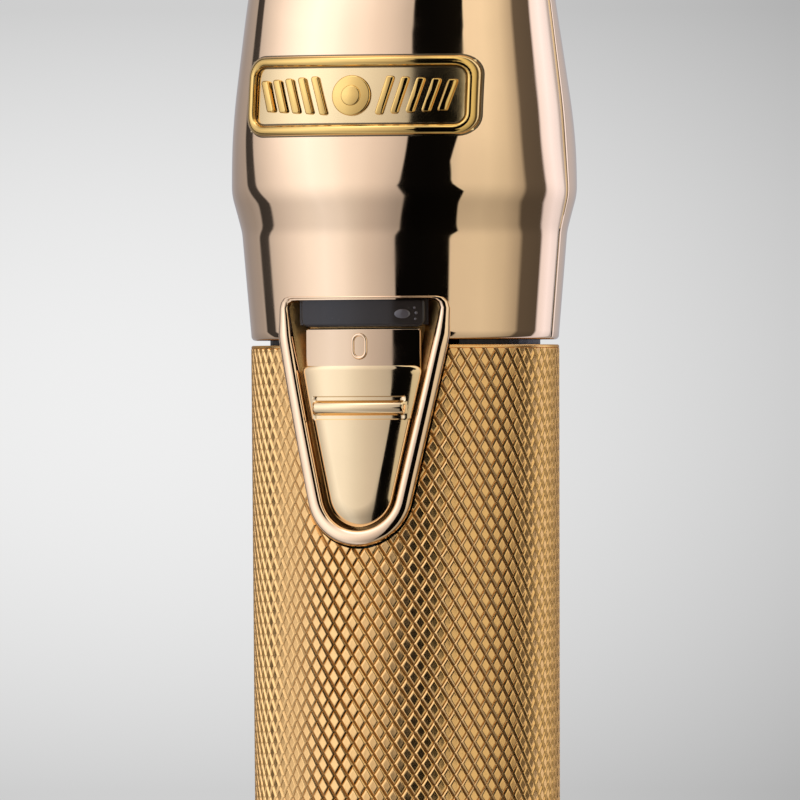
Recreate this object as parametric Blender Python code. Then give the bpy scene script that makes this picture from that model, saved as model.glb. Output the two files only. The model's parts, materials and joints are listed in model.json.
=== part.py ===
"""Cordless hair clipper: knurled barrel grip, two-shell polished head, T-blade.

The clipper stands on its end cap. Its axis is +Z, its front is -Y (badge and switch),
and the origin is the centre of the cap's flat base. Sizes are in millimetres times MM.
"""

import math

import bmesh
import bpy
from mathutils import Matrix, Vector

MM = 0.001

# Clearances: GAP between pieces that touch or slide, BORE_GAP round a shaft or a screw.
GAP = 0.3 * MM
BORE_GAP = 0.3 * MM
OVERSHOOT = 5.0 * MM  # how far a cutter runs past what it cuts

# Grip: end cap, barrel and the gap under the head.
BARREL_TOP_RADIUS = 18.0 * MM
BARREL_BOTTOM_RADIUS = BARREL_TOP_RADIUS - 0.3 * MM
BARREL_BORE = BARREL_BOTTOM_RADIUS - 1.3 * MM
CAP_HEIGHT = 12.0 * MM
CAP_RADIUS = BARREL_BOTTOM_RADIUS + 0.5 * MM
CAP_ROUND = 2.6 * MM
CAP_FLOOR = 4.5 * MM
CAP_SPIGOT = 5.0 * MM
CAP_CAVITY = BARREL_BORE - 2.9 * MM
CAP_SCREW_SPREAD = 10.2 * MM
CAP_SCREW_HEAD = 2.2 * MM
CAP_SCREW_SHANK = 1.0 * MM
CAP_SCREW_SINK = 2.2 * MM  # depth of the counterbores in the cap's floor
RING_GROOVE_DROP = 1.4 * MM  # from the cap's shoulder to the seal ring's groove
RING_GROOVE_HEIGHT = 1.8 * MM
RING_GROOVE_DEPTH = 1.1 * MM
RING_THICKNESS = 1.0 * MM
BARREL_LENGTH = 84.6 * MM
BARREL_CHAMFER = 0.5 * MM
CAP_JOINT = 0.4 * MM
HEAD_JOINT = 0.6 * MM
BARREL_BOTTOM = CAP_HEIGHT + CAP_JOINT
BARREL_TOP = BARREL_BOTTOM + BARREL_LENGTH
RIM = BARREL_TOP + HEAD_JOINT  # lower edge of the head

# Head. Each bend is its height above the rim, the half width or half depth there and its rounding.
HEAD_HEIGHT = 48.4 * MM
HEAD_WALL = 1.8 * MM
HEAD_TOP = RIM + HEAD_HEIGHT
RIM_RADIUS = BARREL_TOP_RADIUS - 0.07 * MM
WAIST = (12.6 * MM, RIM_RADIUS + 1.07 * MM, 6.0 * MM)
RIDGE = (17.0 * MM, RIM_RADIUS + 2.07 * MM, 7.0 * MM)
SIDE_BEND = (26.9 * MM, RIM_RADIUS + 1.44 * MM, 90.0 * MM)
SIDE_TOP_HALF = RIM_RADIUS - 1.13 * MM
FRONT_BEND = (HEAD_HEIGHT - 8.4 * MM, RIM_RADIUS - 0.43 * MM, 25.0 * MM)
FRONT_TOP_HALF = RIM_RADIUS - 4.73 * MM
REAR_BEND = (HEAD_HEIGHT - 26.0 * MM, RIM_RADIUS + 1.87 * MM, 25.0 * MM)
SQUARE_START = 12.0 * MM  # above this height the round section turns into a squarish one
SQUARE_END = 24.0 * MM
SQUARE_POWER = 2.3
SHELL_PARTING = 0.3 * MM

# Blade frame: u across, v up along the blade, n out of its rear, the side that meets the skin.
BLADE_TILT = math.radians(20.0)
BLADE_FOOT = Vector((0.0, RIM_RADIUS - 7.73 * MM, HEAD_TOP - 4.5 * MM))
FIXED_THICKNESS = 1.6 * MM
CUTTER_THICKNESS = 1.5 * MM

# Escutcheon: a shield-shaped tongue of the front shell that runs down over the barrel.
SHIELD_TOP = RIM + 5.1 * MM
SHIELD_BOTTOM = RIM - 24.0 * MM
SHIELD_ANGLE = math.radians(13.3)
SHIELD_END_RADIUS = 6.5 * MM
SHIELD_CORNER = 1.5 * MM
SHIELD_BORDER = 1.9 * MM
SHIELD_TOP_BORDER = 0.3 * MM
SHIELD_INNER_CORNER = 1.0 * MM
SHIELD_PROUD = 1.0 * MM
SHIELD_SEAT = 1.25 * MM  # how far the tongue sinks into the barrel's notch
SHIELD_CREST = BARREL_TOP_RADIUS + SHIELD_PROUD
SHIELD_BACK = BARREL_TOP_RADIUS - SHIELD_SEAT
SHIELD_SHOULDER = RIM + 0.6 * MM  # above this height the outer outline stops widening

# Switch, on the barrel's front, in radii from the clipper's axis.
SWITCH_TRAVEL = 4.0 * MM
LENS_HEIGHT = 3.0 * MM
LENS_TOP = SHIELD_TOP - SHIELD_TOP_BORDER - GAP
BUTTON_TOP = LENS_TOP - LENS_HEIGHT - 0.5 * MM - SWITCH_TRAVEL
BUTTON_SIDE_GAP = 0.4 * MM
BUTTON_CORNER = 1.0 * MM
PLATE_BACK = BARREL_TOP_RADIUS - 3.2 * MM
PLATE_FACE = BARREL_TOP_RADIUS - 2.2 * MM
PAD_FACE = BARREL_TOP_RADIUS - 0.7 * MM
PAD_HALF_WIDTH = 7.75 * MM
BUTTON_FACE = BARREL_TOP_RADIUS + 0.5 * MM
BAR_FACE = BARREL_TOP_RADIUS + 0.9 * MM
BAR_HALF_WIDTH = 5.7 * MM
BAR_DROP = 4.4 * MM  # from the button's top edge to the middle of its grip bar
BAR_HEIGHT = 1.5 * MM
PLATE_HALF_WIDTH = 10.4 * MM
STEM_HALF_WIDTH = 2.0 * MM
STEM_HEIGHT = 4.0 * MM
STEM_DROP = 10.5 * MM  # from the button's top edge to the stem's top
SLIDER_HALF_WIDTH = 4.0 * MM
SLIDER_HEIGHT = 9.0 * MM
SLIDER_FACE = PLATE_BACK - 0.9 * MM
SLIDER_BACK = PLATE_BACK - 1.9 * MM
LENS_HALF_WIDTH = 8.1 * MM
LENS_FACE = PAD_FACE + 0.3 * MM
LENS_CORNER = 0.9 * MM
BADGE_MIDDLE = RIM + 28.3 * MM
BADGE_HEIGHT = 9.2 * MM
BADGE_HALF_WIDTH = 14.1 * MM
BADGE_THICKNESS = 0.9 * MM
BADGE_CORNER = 2.2 * MM

# Core: what the barrel and the head hold, on the rotor's own axis behind the clipper's axis.
CORE_Y = 1.5 * MM
BATTERY_RADIUS = 9.2 * MM
BATTERY_LENGTH = 65.0 * MM
BATTERY_TOP = RIM - 15.1 * MM
BATTERY_BOTTOM = BATTERY_TOP - BATTERY_LENGTH
TAB_THICKNESS = 0.3 * MM
BOARD_BACK = SLIDER_BACK - 1.5 * MM
BOARD_THICKNESS = 1.2 * MM
BOARD_HALF_WIDTH = 6.4 * MM
BOARD_BOTTOM = BATTERY_BOTTOM + 2.0 * MM
BOARD_TOP = RIM + 4.4 * MM
FRAME_RADIUS = BARREL_BORE - GAP
FRAME_WALL = 1.8 * MM
MOTOR_RADIUS = 11.0 * MM
MOTOR_WALL = 0.9 * MM
MOTOR_BOTTOM = BATTERY_TOP + 2.5 * MM
MOTOR_LENGTH = 28.5 * MM
BELL_HEIGHT = 2.0 * MM
MOTOR_TOP = MOTOR_BOTTOM + MOTOR_LENGTH
BEARING_RADIUS = 3.0 * MM
SHAFT_RADIUS = 1.15 * MM
ROTOR_RADIUS = 6.0 * MM
STATOR_INNER = 6.8 * MM
MOUNT_RADIUS = BARREL_BORE - 1.4 * MM
MOUNT_THICKNESS = 2.0 * MM
MOUNT_BOTTOM = MOTOR_TOP + GAP
MOUNT_TOP = MOUNT_BOTTOM + MOUNT_THICKNESS
MOTOR_ROOF = 2.0 * MM
MOTOR_SCREW_SPREAD = 7.0 * MM
MOTOR_SCREW_SHANK = 0.9 * MM
MOTOR_SCREW_HEAD = 1.7 * MM

# Charging port, in the middle of the cap's floor.
PORT_RADIUS = 4.5 * MM
JACK_RADIUS = 5.6 * MM
JACK_HOLE = 3.0 * MM
JACK_PIN_RADIUS = 1.0 * MM
JACK_FACE = CAP_FLOOR + GAP
JACK_LENGTH = 9.6 * MM
JACK_FLOOR = 1.6 * MM

# Drive: an eccentric roller rocks the drive arm, whose finger slides the cutter.
THROW = 0.8 * MM
HUB_BOTTOM = MOUNT_TOP + 1.8 * MM
HUB_RADIUS = 4.2 * MM
HUB_HEIGHT = 3.6 * MM
CRANK_PIN_RADIUS = 1.0 * MM
CRANK_PIN_LENGTH = 5.2 * MM
ROLLER_RADIUS = 2.0 * MM
PIVOT_RADIUS = 1.3 * MM
PIVOT_DROP = 13.1 * MM  # from the head's top down to the pivot pin
PIVOT = Vector((0.0, CORE_Y, HEAD_TOP - PIVOT_DROP))
EAR_THICKNESS = 2.0 * MM
EAR_ROUND = 3.0 * MM
EAR_REACH = 6.4 * MM  # from the core's axis to the middle of each ear
ARM_THICKNESS = 3.0 * MM
ARM_HALF_WIDTH = 2.6 * MM
ARM_BOSS = 3.6 * MM
ARM_PRONG = 2.0 * MM
FINGER_RADIUS = 1.2 * MM
FINGER_V = 11.5 * MM

# Blade set, in the blade frame.
FIXED_NECK = 12.0 * MM
FIXED_BAR = 20.0 * MM
FIXED_TIP = 26.0 * MM
CUTTER_TAIL = 6.0 * MM
CUTTER_BAR = 16.8 * MM
CUTTER_FOOT = FINGER_V - 2.2 * MM
CUTTER_TIP = FIXED_TIP - 1.2 * MM
MOUNT_BLOCK_HALF = FIXED_NECK + 0.4 * MM
MOUNT_BLOCK_FOOT = -4.0 * MM
MOUNT_BLOCK_HEAD = CUTTER_FOOT - 0.8 * MM
MOUNT_BLOCK_DEPTH = 4.0 * MM
BLADE_SCREW_SPREAD = 7.5 * MM
BLADE_SCREW_V = 4.4 * MM
BLADE_SCREW_SHANK = 1.2 * MM
BLADE_SCREW_HEAD = 2.6 * MM
SPRING_WIRE = 0.45 * MM

ROUND = 48
SMALL_ROUND = 24
TINY_ROUND = 16


# ---------------------------------------------------------------- outlines

def rounded(corners, closed=True, steps=4):
    """A path through (x, y, radius) corners, with each rounded corner as an arc of steps pieces."""
    points = []
    count = len(corners)
    for i, (x, y, radius) in enumerate(corners):
        here = Vector((x, y))
        if radius <= 0 or (not closed and i in (0, count - 1)):
            points.append(here)
            continue
        before = (Vector(corners[i - 1][:2]) - here).normalized()
        after = (Vector(corners[(i + 1) % count][:2]) - here).normalized()
        half = before.angle(after) / 2
        centre = here + (before + after).normalized() * (radius / math.sin(half))
        start = here + before * (radius / math.tan(half)) - centre
        end = here + after * (radius / math.tan(half)) - centre
        sweep = start.angle(end)
        for k in range(steps + 1):
            a, b = math.sin(sweep * (1 - k / steps)), math.sin(sweep * k / steps)
            points.append(centre + (start * a + end * b) / math.sin(sweep))
    return points


def level(points, height):
    """The second value of a path where its first one is height, held past both ends."""
    if height <= points[0][0]:
        return points[0][1]
    for (z0, r0), (z1, r1) in zip(points, points[1:]):
        if z0 <= height <= z1:
            return r0 + (r1 - r0) * (height - z0) / (z1 - z0)
    return points[-1][1]


def head_paths():
    """Half width at the sides, half depth at the front and at the rear, by height above the rim."""
    low = [(0.0, RIM_RADIUS, 0.0), WAIST, RIDGE]
    rear_top = REAR_BEND[1] - (HEAD_HEIGHT - REAR_BEND[0]) * math.tan(BLADE_TILT)
    side = low + [SIDE_BEND, (HEAD_HEIGHT, SIDE_TOP_HALF, 0.0)]
    front = low + [SIDE_BEND, FRONT_BEND, (HEAD_HEIGHT, FRONT_TOP_HALF, 0.0)]
    rear = low + [REAR_BEND, (HEAD_HEIGHT, rear_top, 0.0)]
    return [rounded(path, closed=False) for path in (side, front, rear)]


HEAD_SIDE, HEAD_FRONT, HEAD_REAR = head_paths()


def shield_side(height, end_radius, bottom, shoulder=math.inf):
    """Half width of a shield at this height, on its side, which is upright above the shoulder."""
    centre = bottom + end_radius
    height = min(height, shoulder)
    return end_radius / math.cos(SHIELD_ANGLE) + (height - centre) * math.tan(SHIELD_ANGLE)


def shield(inset=0.0, top=SHIELD_TOP, corner=SHIELD_CORNER, shoulder=math.inf, steps=5):
    """Right-hand outline of the shield, top to bottom, as (height, half width) rows."""
    bottom = SHIELD_BOTTOM + inset
    end_radius = SHIELD_END_RADIUS - inset
    reach = shield_side(top, end_radius, bottom, shoulder)
    turn = math.pi / 2 + (SHIELD_ANGLE if top <= shoulder else 0.0)
    rows = []
    if corner > 0:
        middle = reach - corner * math.tan(turn / 2)
        for k in range(steps + 1):
            angle = math.pi / 2 - turn * k / steps
            rows.append((top - corner + corner * math.sin(angle), middle + corner * math.cos(angle)))
    else:
        rows.append((top, reach))
    centre = bottom + end_radius
    start = centre - end_radius * math.sin(SHIELD_ANGLE)
    if shoulder < rows[-1][0]:
        rows.append((shoulder, shield_side(shoulder, end_radius, bottom)))
    for k in range(1, steps):
        height = rows[-1][0] + (start - rows[-1][0]) / (steps - k + 1)
        rows.append((height, shield_side(height, end_radius, bottom)))
    for k in range(steps + 1):
        angle = -SHIELD_ANGLE - (math.pi / 2 - SHIELD_ANGLE) * k / steps
        rows.append((centre + end_radius * math.sin(angle), max(0.0, end_radius * math.cos(angle))))
    return rows


# ---------------------------------------------------------------- solids

def finish(bm, name, material):
    """Makes the mesh an object, with its faces pointing out, round where it is smooth."""
    bmesh.ops.remove_doubles(bm, verts=bm.verts, dist=1e-6)
    bmesh.ops.dissolve_degenerate(bm, dist=1e-7, edges=bm.edges)
    bmesh.ops.delete(bm, geom=[e for e in bm.edges if not e.link_faces], context="EDGES")
    bmesh.ops.recalc_face_normals(bm, faces=bm.faces)
    mesh = bpy.data.meshes.new(name)
    bm.to_mesh(mesh)
    bm.free()
    mesh.shade_smooth()
    mesh.set_sharp_from_angle(angle=math.radians(35))
    obj = bpy.data.objects.new(name, mesh)
    bpy.context.scene.collection.objects.link(obj)
    if material:
        mesh.materials.append(material)
    return obj


def skin(name, rings, material=None, closed=False):
    """A solid through rings of points: capped at both ends, or joined into a loop if closed."""
    bm = bmesh.new()
    loops = [[bm.verts.new(p) for p in ring] for ring in rings]
    pairs = list(zip(loops, loops[1:]))
    if closed:
        pairs.append((loops[-1], loops[0]))
    for low, high in pairs:
        for i in range(len(low)):
            j = (i + 1) % len(low)
            bm.faces.new((low[i], low[j], high[j], high[i]))
    if not closed:
        bm.faces.new(loops[0][::-1])
        bm.faces.new(loops[-1])
    return finish(bm, name, material)


def turned(name, profile, material=None, centre=(0.0, 0.0), segments=ROUND):
    """A closed (radius, height) profile turned about the vertical line through centre.
    A point on the axis has radius 0."""
    rings = []
    for radius, height in profile:
        ring = []
        for k in range(segments):
            angle = 2 * math.pi * k / segments
            x, y = radius * math.cos(angle), radius * math.sin(angle)
            ring.append(Vector((centre[0] + x, centre[1] + y, height)))
        rings.append(ring)
    return skin(name, rings, material, closed=True)


def tube(name, inner, outer, low, high, material=None, centre=(0.0, 0.0), segments=ROUND):
    profile = [(inner, low), (outer, low), (outer, high), (inner, high)]
    return turned(name, profile, material, centre, segments)


def rod(name, start, end, radius, material=None, segments=TINY_ROUND):
    """A plain cylinder from start to end."""
    start, end = Vector(start), Vector(end)
    turn = (end - start).to_track_quat("Z", "Y")
    rings = []
    for point in (start, end):
        ring = []
        for k in range(segments):
            angle = 2 * math.pi * k / segments
            ring.append(point + turn @ Vector((radius * math.cos(angle), radius * math.sin(angle), 0)))
        rings.append(ring)
    return skin(name, rings, material)


def block(name, low, high, material=None):
    """A box between two opposite corners."""
    (x0, y0, z0), (x1, y1, z1) = low, high
    corners = [(x0, y0), (x1, y0), (x1, y1), (x0, y1)]
    return skin(name, [[Vector((x, y, z)) for x, y in corners] for z in (z0, z1)], material)


def plate(name, outline, place, low, high, material=None):
    """A flat outline of (a, b) points made thick: place(a, b, c) with c from low to high."""
    return skin(name, [[place(a, b, c) for a, b in outline] for c in (low, high)], material)


def on_barrel(along, height, radius):
    """A point at this arc length from the front line, measured on the barrel's top radius."""
    angle = along / BARREL_TOP_RADIUS
    return Vector((radius * math.sin(angle), -radius * math.cos(angle), height))


def curved_block(name, rows, inner, outer, material=None, columns=10):
    """A solid between two radii about the axis, over (height, half width) rows, top to bottom."""
    bm = bmesh.new()
    grids = []
    for radius in (inner, outer):
        grid = []
        for height, half in rows:
            share = [2 * k / columns - 1 for k in range(columns + 1)]
            grid.append([bm.verts.new(on_barrel(half * s, height, radius)) for s in share])
        grids.append(grid)
    low, high = grids
    for grid in grids:
        for upper, lower in zip(grid, grid[1:]):
            for k in range(columns):
                bm.faces.new((upper[k], upper[k + 1], lower[k + 1], lower[k]))
    for i in range(len(rows) - 1):
        for k in (0, columns):
            bm.faces.new((low[i][k], high[i][k], high[i + 1][k], low[i + 1][k]))
    for i in (0, len(rows) - 1):
        for k in range(columns):
            bm.faces.new((low[i][k], low[i][k + 1], high[i][k + 1], high[i][k]))
    bmesh.ops.remove_doubles(bm, verts=bm.verts, dist=1e-6)
    bmesh.ops.delete(bm, geom=[f for f in bm.faces if f.calc_area() < 1e-14], context="FACES_ONLY")
    return finish(bm, name, material)


def frame_ring(name, outer_rows, inner_rows, inner, outer, columns=10):
    """The raised border between two shield outlines, between two radii about the axis."""
    def loop(rows):
        half = rows[0][1]
        across = [(rows[0][0], half * (1 - 2 * k / columns)) for k in range(1, columns)]
        left = [(height, -width) for height, width in reversed(rows[:-1])]
        return list(rows) + left + [(h, -w) for h, w in across]

    rings = []
    for rows, radius in ((inner_rows, inner), (inner_rows, outer), (outer_rows, outer), (outer_rows, inner)):
        rings.append([on_barrel(width, height, radius) for height, width in loop(rows)])
    return skin(name, rings, closed=True)


def in_blade(u, v, n):
    """A point of the blade frame, in the clipper's frame."""
    along = Vector((0.0, -math.sin(BLADE_TILT), math.cos(BLADE_TILT)))
    out = Vector((0.0, math.cos(BLADE_TILT), math.sin(BLADE_TILT)))
    return BLADE_FOOT + Vector((u, 0.0, 0.0)) + along * v + out * n


def blade_plate(name, outline, low, high, material=None):
    return plate(name, outline, in_blade, low, high, material)


def boolean(obj, other, operation):
    other.hide_render = True
    other.display_type = "WIRE"
    modifier = obj.modifiers.new(f"{operation.lower()} {other.name}", "BOOLEAN")
    modifier.operation = operation
    modifier.solver = "EXACT"
    modifier.object = other


def cut(obj, *cutters):
    for cutter in cutters:
        boolean(obj, cutter, "DIFFERENCE")


def join(obj, *others):
    for other in others:
        boolean(obj, other, "UNION")


def metal_or_plastic(name, colour, roughness, metallic):
    material = bpy.data.materials.new(name)
    material.use_nodes = True
    shader = material.node_tree.nodes["Principled BSDF"]
    shader.inputs["Base Color"].default_value = (*colour, 1.0)
    shader.inputs["Roughness"].default_value = roughness
    shader.inputs["Metallic"].default_value = metallic
    return material


def hang(objects, name, point):
    """An empty on a joint's axis that carries the pieces that move about or along it."""
    pivot = bpy.data.objects.new(name, None)
    pivot.location = point
    bpy.context.scene.collection.objects.link(pivot)
    for obj in objects:
        obj.parent = pivot
        obj.matrix_parent_inverse = Matrix.Translation(-Vector(point))


# ---------------------------------------------------------------- head

def head_ring(height, inset=0.0, segments=ROUND):
    """The head's section at this height above its rim, starting at the front."""
    half_width = level(HEAD_SIDE, height) - inset
    blend = min(1.0, max(0.0, (height - SQUARE_START) / (SQUARE_END - SQUARE_START)))
    power = 2.0 + (SQUARE_POWER - 2.0) * blend
    ring = []
    for k in range(segments):
        angle = 2 * math.pi * (k + 0.5) / segments
        sine, cosine = math.sin(angle), math.cos(angle)
        depth = level(HEAD_FRONT if cosine > 0 else HEAD_REAR, height) - inset
        x = half_width * math.copysign(abs(sine) ** (2 / power), sine)
        y = -depth * math.copysign(abs(cosine) ** (2 / power), cosine)
        ring.append(Vector((x, y, RIM + height)))
    return ring


def head_heights():
    """Heights of the head's sections: closer together round the waist and the ridge."""
    bends = sorted({round(z, 6) for path in (HEAD_SIDE, HEAD_FRONT, HEAD_REAR) for z, _ in path})
    heights = [bends[0]]
    for z in bends[1:]:
        if z - heights[-1] >= 1.4 * MM:
            heights.append(z)
    heights[-1] = HEAD_HEIGHT
    return heights


def head_half(name, sign, material):
    """One shell of the head, on the side of the parting plane that sign says: -1 is the front."""
    heights = head_heights()
    shell = skin(name, [head_ring(z) for z in heights], material)
    inside = [-OVERSHOOT] + heights[1:-1] + [HEAD_HEIGHT + OVERSHOOT]
    hollow = skin(name + "_hollow", [head_ring(z, HEAD_WALL) for z in inside])
    reach = 2 * CAP_RADIUS
    near, far = sign * SHELL_PARTING / 2, -sign * reach
    other_side = block(
        name + "_other_side",
        (-reach, min(near, far), RIM - OVERSHOOT),
        (reach, max(near, far), HEAD_TOP + OVERSHOOT),
    )
    cut(shell, hollow, other_side)
    return shell


def front_shell(material):
    shell = head_half("front_shell", -1, material)
    opening_top = SHIELD_TOP - SHIELD_TOP_BORDER
    half = 0.4 * SHIELD_BORDER
    shoulder = SHIELD_SHOULDER + half
    middle = shield(half, SHIELD_TOP - SHIELD_TOP_BORDER / 2, SHIELD_INNER_CORNER, shoulder)
    window = curved_block("front_shell_window", middle, BARREL_BORE - OVERSHOOT, SHIELD_CREST + OVERSHOOT)
    cut(shell, window)
    shoulder = opening_top - 1.5 * SHIELD_INNER_CORNER
    inner = shield(SHIELD_BORDER, opening_top, SHIELD_INNER_CORNER, shoulder)
    outer = shield(shoulder=SHIELD_SHOULDER)
    join(shell, frame_ring("front_shell_border", outer, inner, SHIELD_BACK, SHIELD_CREST))
    return shell


def rear_shell(material):
    shell = head_half("rear_shell", 1, material)
    half = MOUNT_BLOCK_HALF + GAP
    seat = [(-half, MOUNT_BLOCK_FOOT - GAP), (half, MOUNT_BLOCK_FOOT - GAP)]
    seat += [(half, HEAD_HEIGHT), (-half, HEAD_HEIGHT)]
    cut(shell, blade_plate("rear_shell_seat", seat, -MOUNT_BLOCK_DEPTH - GAP, 2 * OVERSHOOT))
    return shell


def mouth_plate(material):
    """Closes the head's mouth in front of the blade mount, with a slot for the drive arm."""
    low = HEAD_HEIGHT - 2.6 * MM
    high = low + 1.4 * MM
    closure = skin("mouth_plate", [head_ring(z, HEAD_WALL + GAP) for z in (low, high)], material)
    reach = 2 * CAP_RADIUS
    rear = block(
        "mouth_plate_rear",
        (-reach, CORE_Y + ARM_THICKNESS / 2 + GAP, RIM),
        (reach, reach, HEAD_TOP + OVERSHOOT),
    )
    slot_half = ARM_HALF_WIDTH + 2.2 * MM
    slot = block(
        "mouth_plate_slot",
        (-slot_half, CORE_Y - ARM_THICKNESS / 2 - 2 * GAP, RIM),
        (slot_half, reach, HEAD_TOP + OVERSHOOT),
    )
    cut(closure, rear, slot)
    return closure


def badge(material):
    """A plate with rounded corners that follows the head's front."""
    columns, bottom = 20, BADGE_MIDDLE - BADGE_HEIGHT / 2 - RIM
    corner = [BADGE_CORNER * (1 - math.cos(math.pi / 2 * k / 3)) for k in range(4)]
    drops = corner + [BADGE_HEIGHT / 2] + [BADGE_HEIGHT - c for c in reversed(corner)]
    bm = bmesh.new()
    grids = []
    for lift in (GAP, GAP + BADGE_THICKNESS):
        grid = []
        for drop in drops:
            depth = min(drop, BADGE_HEIGHT - drop)
            back = max(0.0, BADGE_CORNER - depth)
            half = BADGE_HALF_WIDTH - BADGE_CORNER + math.sqrt(BADGE_CORNER**2 - back**2)
            height = bottom + drop
            width = level(HEAD_SIDE, height) + lift
            front = level(HEAD_FRONT, height) + lift
            row = []
            for k in range(columns + 1):
                x = half * (2 * k / columns - 1)
                y = -front * (1 - (abs(x) / width) ** SQUARE_POWER) ** (1 / SQUARE_POWER)
                row.append(bm.verts.new((x, y, RIM + height)))
            grid.append(row)
        grids.append(grid)
    low, high = grids
    for grid in grids:
        for upper, lower in zip(grid, grid[1:]):
            for k in range(columns):
                bm.faces.new((upper[k], upper[k + 1], lower[k + 1], lower[k]))
    last = len(drops) - 1
    for i in range(last):
        for k in (0, columns):
            bm.faces.new((low[i][k], high[i][k], high[i + 1][k], low[i + 1][k]))
    for i in (0, last):
        for k in range(columns):
            bm.faces.new((low[i][k], low[i][k + 1], high[i][k + 1], high[i][k]))
    return finish(bm, "badge", material)


# ---------------------------------------------------------------- grip

def barrel(material):
    chamfer = BARREL_CHAMFER
    profile = [
        (BARREL_BORE, BARREL_BOTTOM),
        (BARREL_BOTTOM_RADIUS - chamfer, BARREL_BOTTOM),
        (BARREL_BOTTOM_RADIUS, BARREL_BOTTOM + chamfer),
        (BARREL_TOP_RADIUS, BARREL_TOP - chamfer),
        (BARREL_TOP_RADIUS - chamfer, BARREL_TOP),
        (BARREL_BORE, BARREL_TOP),
    ]
    grip = turned("barrel", profile, material)
    rows = shield(-GAP, BARREL_TOP + OVERSHOOT, corner=0.0)
    notch = curved_block("barrel_notch", rows, BARREL_BORE - OVERSHOOT, SHIELD_CREST + OVERSHOOT)
    cut(grip, notch)
    return grip


def coupling_ring(material):
    """The dark ring seen in the joint between barrel and head, open where the switch sits."""
    low, high = BARREL_TOP - 6.0 * MM, RIM + 6.0 * MM
    ring = tube("coupling_ring", PLATE_BACK, PLATE_FACE, low, high, material)
    rows = [(high + OVERSHOOT, PLATE_HALF_WIDTH + 2.6 * MM), (low - OVERSHOOT, PLATE_HALF_WIDTH + 2.6 * MM)]
    opening = curved_block("coupling_ring_opening", rows, PLATE_BACK - OVERSHOOT, PLATE_FACE + OVERSHOOT)
    cut(ring, opening)
    return ring


def end_cap(material):
    spigot = BARREL_BORE - GAP
    groove_low = CAP_HEIGHT + RING_GROOVE_DROP
    groove_high = groove_low + RING_GROOVE_HEIGHT
    groove = spigot - RING_GROOVE_DEPTH
    corner = [(PORT_RADIUS, 0.0, 0.0), (CAP_RADIUS, 0.0, CAP_ROUND), (CAP_RADIUS, CAP_HEIGHT, 0.6 * MM)]
    corner += [(spigot, CAP_HEIGHT, 0.0)]
    profile = [tuple(p) for p in rounded(corner, closed=False)] + [
        (spigot, groove_low),
        (groove, groove_low),
        (groove, groove_high),
        (spigot, groove_high),
        (spigot, CAP_HEIGHT + CAP_SPIGOT),
        (CAP_CAVITY, CAP_HEIGHT + CAP_SPIGOT),
        (CAP_CAVITY, CAP_FLOOR),
        (PORT_RADIUS, CAP_FLOOR),
    ]
    cap = turned("end_cap", profile, material)
    wide, narrow = CAP_SCREW_HEAD + GAP + 0.1 * MM, CAP_SCREW_SHANK + BORE_GAP
    for side in (-1, 1):
        top = CAP_FLOOR + OVERSHOOT
        steps = [(0, -OVERSHOOT), (wide, -OVERSHOOT), (wide, CAP_SCREW_SINK), (narrow, CAP_SCREW_SINK)]
        steps += [(narrow, top), (0, top)]
        cut(cap, turned("end_cap_hole", steps, centre=(0.0, side * CAP_SCREW_SPREAD), segments=TINY_ROUND))
    return cap


def cap_screw(name, side, material):
    y = side * CAP_SCREW_SPREAD
    face, under, tip = 0.5 * MM, CAP_SCREW_SINK - GAP, CAP_HEIGHT - 1.0 * MM
    profile = [(0, face), (CAP_SCREW_HEAD, face), (CAP_SCREW_HEAD, under), (CAP_SCREW_SHANK, under)]
    profile += [(CAP_SCREW_SHANK, tip), (0, tip)]
    head = turned(name, profile, material, (0.0, y), TINY_ROUND)
    reach = CAP_SCREW_HEAD + 0.8 * MM
    slot = block(name + "_slot", (-reach, y - 0.3 * MM, 0), (reach, y + 0.3 * MM, face + 0.6 * MM))
    cut(head, slot)
    return head


def o_ring(material):
    thick = RING_THICKNESS / 2
    centre = BARREL_BORE - GAP - thick
    height = CAP_HEIGHT + RING_GROOVE_DROP + RING_GROOVE_HEIGHT / 2
    profile = []
    for k in range(8):
        angle = 2 * math.pi * k / 8
        profile.append((centre + thick * math.cos(angle), height + thick * math.sin(angle)))
    return turned("cap_o_ring", profile, material, segments=48)


# ---------------------------------------------------------------- charging port

def dc_jack(material):
    top = JACK_FACE + JACK_LENGTH
    profile = [
        (JACK_HOLE, JACK_FACE),
        (JACK_RADIUS, JACK_FACE),
        (JACK_RADIUS, top),
        (0.0, top),
        (0.0, top - JACK_FLOOR),
        (JACK_HOLE, top - JACK_FLOOR),
    ]
    return turned("dc_jack", profile, material, segments=32)


def jack_pin(material):
    top = JACK_FACE + JACK_LENGTH - JACK_FLOOR - GAP
    return rod("jack_pin", (0, 0, JACK_FACE + 0.6 * MM), (0, 0, top), JACK_PIN_RADIUS, material)


# ---------------------------------------------------------------- switch

def switch_plate(material):
    """The curved plate with the raised pad that carries the marks, slotted for the button's stem."""
    low, high = SHIELD_BOTTOM + SHIELD_BORDER, SHIELD_TOP
    base = curved_block(
        "switch_plate", [(high, PLATE_HALF_WIDTH), (low, PLATE_HALF_WIDTH)], PLATE_BACK, PLATE_FACE, material
    )
    pad_top = BUTTON_TOP + SWITCH_TRAVEL
    rows = []
    for height, half in shield(SHIELD_BORDER + 2 * BUTTON_SIDE_GAP, pad_top, corner=0.0):
        rows.append((height, min(half, PAD_HALF_WIDTH)))
    pad = curved_block("switch_plate_pad", rows, PLATE_FACE - 0.5 * MM, PAD_FACE)
    join(base, pad)
    stem_top = BUTTON_TOP - STEM_DROP
    half = STEM_HALF_WIDTH + GAP
    slot = block(
        "switch_plate_slot",
        (-half, -SHIELD_CREST, stem_top - STEM_HEIGHT - GAP),
        (half, -SLIDER_BACK, stem_top + SWITCH_TRAVEL + GAP),
    )
    cut(base, slot)
    return base


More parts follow.
